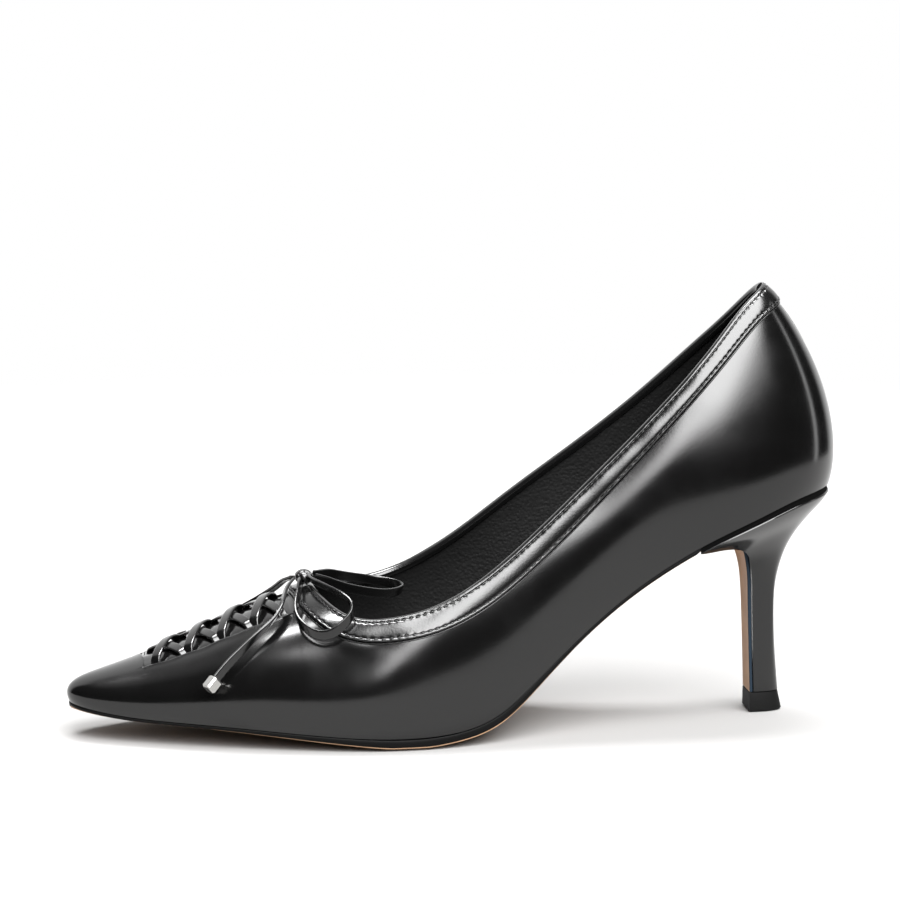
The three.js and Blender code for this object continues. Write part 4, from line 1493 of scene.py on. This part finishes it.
def lace_route(start, end, lift):
    """Route and facing of a lace from one slit to another, each a side and a distance from the toe"""
    v = np.linspace(start[0] * lace_overrun, end[0] * lace_overrun, 60)
    x = lerp(start[1], end[1], (v - v[0]) / (v[-1] - v[0]))
    u = station_of(x)
    t = 1 - (1 - opening_edge(u) - slit_inset) * np.abs(v)
    route = np.empty((len(v), 3))
    facing = np.empty((len(v), 3))
    for side, mask in ((OUTER, v < 0), (INNER, v >= 0)):
        route[mask] = wall_point(u[mask], t[mask], side)
        facing[mask] = wall_frame(u[mask], t[mask], side)[2]
    arch = np.clip(1 - v * v, 0, 1) ** 0.7
    dive = smoothstep(np.abs(v), 0.8, lace_overrun) ** 1.5
    off = lace_low + lift * arch - lace_dive * dive
    return route + facing * off[:, None], facing


def laces_mesh():
    laces, lace_faces = [], []
    first = 0
    for here, there in zip(slits_at, slits_at[1:]):
        for side, lift in lace_lifts.items():
            route, facing = lace_route((side, here), (-side, there), lift)
            points, faces = strap_mesh(route, facing, lace_width, lace_thickness, seam=-0.1)
            laces.append(points)
            lace_faces += [[c + first for c in face] for face in faces]
            first += len(points)
    return np.vstack(laces), lace_faces


add_piece("vamp_laces", "lace_crossings", "lace_leather", *laces_mesh())


# Stage. Directions are degrees: a turn of 0 is the camera's side and positive towards the heel.
# A fade runs from dark to fully lit
soft_box = {
    "turn": 1, "foot": 11, "slant": 0.56, "foot_fade": (-3, 11), "top_fade": (82, 66),
    "end_fade": (-68, -50), "strength": 18,
}
box_corner = {"turn": -12, "height": 43, "rise": 0.68, "drop": 3, "fade": (-3, 6)}
white_sweep = {"turn_fade": (116, 132), "top_fade": (62, 48), "strength": 1.2}
ceiling = {"fade": (52, 66), "strength": 0.5}
rear_light = {"turn_fade": (105, 125), "low_fade": (66, 71), "high_fade": (87, 82), "strength": 45}
side_strip = {"turn": 91, "side_fade": (4.5, 1.5), "top_fade": (42, 30), "strength": 3.5}
dark_wall = 0.03
floor_radius = 0.65
floor_sides = 96
floor_drop = 0.0002
floor_fade = (0.5, 0.62)


def sweep_world():
    """What the leather mirrors: a big soft box over the camera, a white sweep behind, dark walls"""
    world = bpy.data.worlds.new("studio")
    bpy.context.scene.world = world
    graph = Graph(world)
    direction = graph.node("ShaderNodeTexCoord", out="Generated")
    right, back, up = (graph.node("ShaderNodeSeparateXYZ", None, direction, out=way) for way in "XYZ")
    height = up.math("ARCSINE") * math.degrees(1)
    turn = right.math("ARCTAN2", -back) * math.degrees(1)
    turned_away = turn.math("ABSOLUTE")
    foot = soft_box["foot"] + soft_box["slant"] * (turn - soft_box["turn"]).math("ABSOLUTE")
    left = box_corner["turn"] - turn
    cut = (left * box_corner["rise"]).math("MINIMUM", left * box_corner["drop"])
    box = (height - foot).ramp(*soft_box["foot_fade"])
    box = box * (height - (box_corner["height"] + cut)).ramp(*box_corner["fade"])
    box = box * height.ramp(*soft_box["top_fade"]) * turn.ramp(*soft_box["end_fade"])
    sweep = turned_away.ramp(*white_sweep["turn_fade"]) * height.ramp(*white_sweep["top_fade"])
    rear = turned_away.ramp(*rear_light["turn_fade"]) * height.ramp(*rear_light["low_fade"])
    rear = rear * height.ramp(*rear_light["high_fade"])
    strip = (turn - side_strip["turn"]).math("ABSOLUTE").ramp(*side_strip["side_fade"])
    strip = strip * height.ramp(*side_strip["top_fade"])
    lit = dark_wall + soft_box["strength"] * box + white_sweep["strength"] * sweep
    lit = lit + ceiling["strength"] * height.ramp(*ceiling["fade"])
    lit = lit + rear_light["strength"] * rear + side_strip["strength"] * strip
    seen = graph.node("ShaderNodeLightPath", out="Is Camera Ray")
    strength = seen + (1 - seen) * lit
    shade = graph.node("ShaderNodeBackground", None, Color=(1, 1, 1, 1), Strength=strength)
    graph.node("ShaderNodeOutputWorld", None, Surface=shade)


def pale_floor(graph):
    """A pale disc that fades into the white around it"""
    distance = graph.node("ShaderNodeVectorMath", {"operation": "LENGTH"}, graph.place(), out="Value")
    base = graph.node("ShaderNodeBsdfDiffuse", None, Color=(0.235, 0.2335, 0.2315, 1))
    clear = graph.node("ShaderNodeBsdfTransparent")
    return graph.node("ShaderNodeMixShader", None, distance.ramp(*floor_fade), base, clear)


def add_floor():
    turns = np.linspace(0, 2 * np.pi, floor_sides, endpoint=False)
    edge = [(floor_radius * math.cos(a), floor_radius * math.sin(a), -floor_drop) for a in turns]
    mesh = bpy.data.meshes.new("floor")
    mesh.from_pydata(edge, [], [list(range(floor_sides))])
    mesh.materials.append(add_material(pale_floor))
    floor = bpy.data.objects.new("floor", mesh)
    bpy.context.scene.collection.objects.link(floor)


sweep_world()
add_floor()
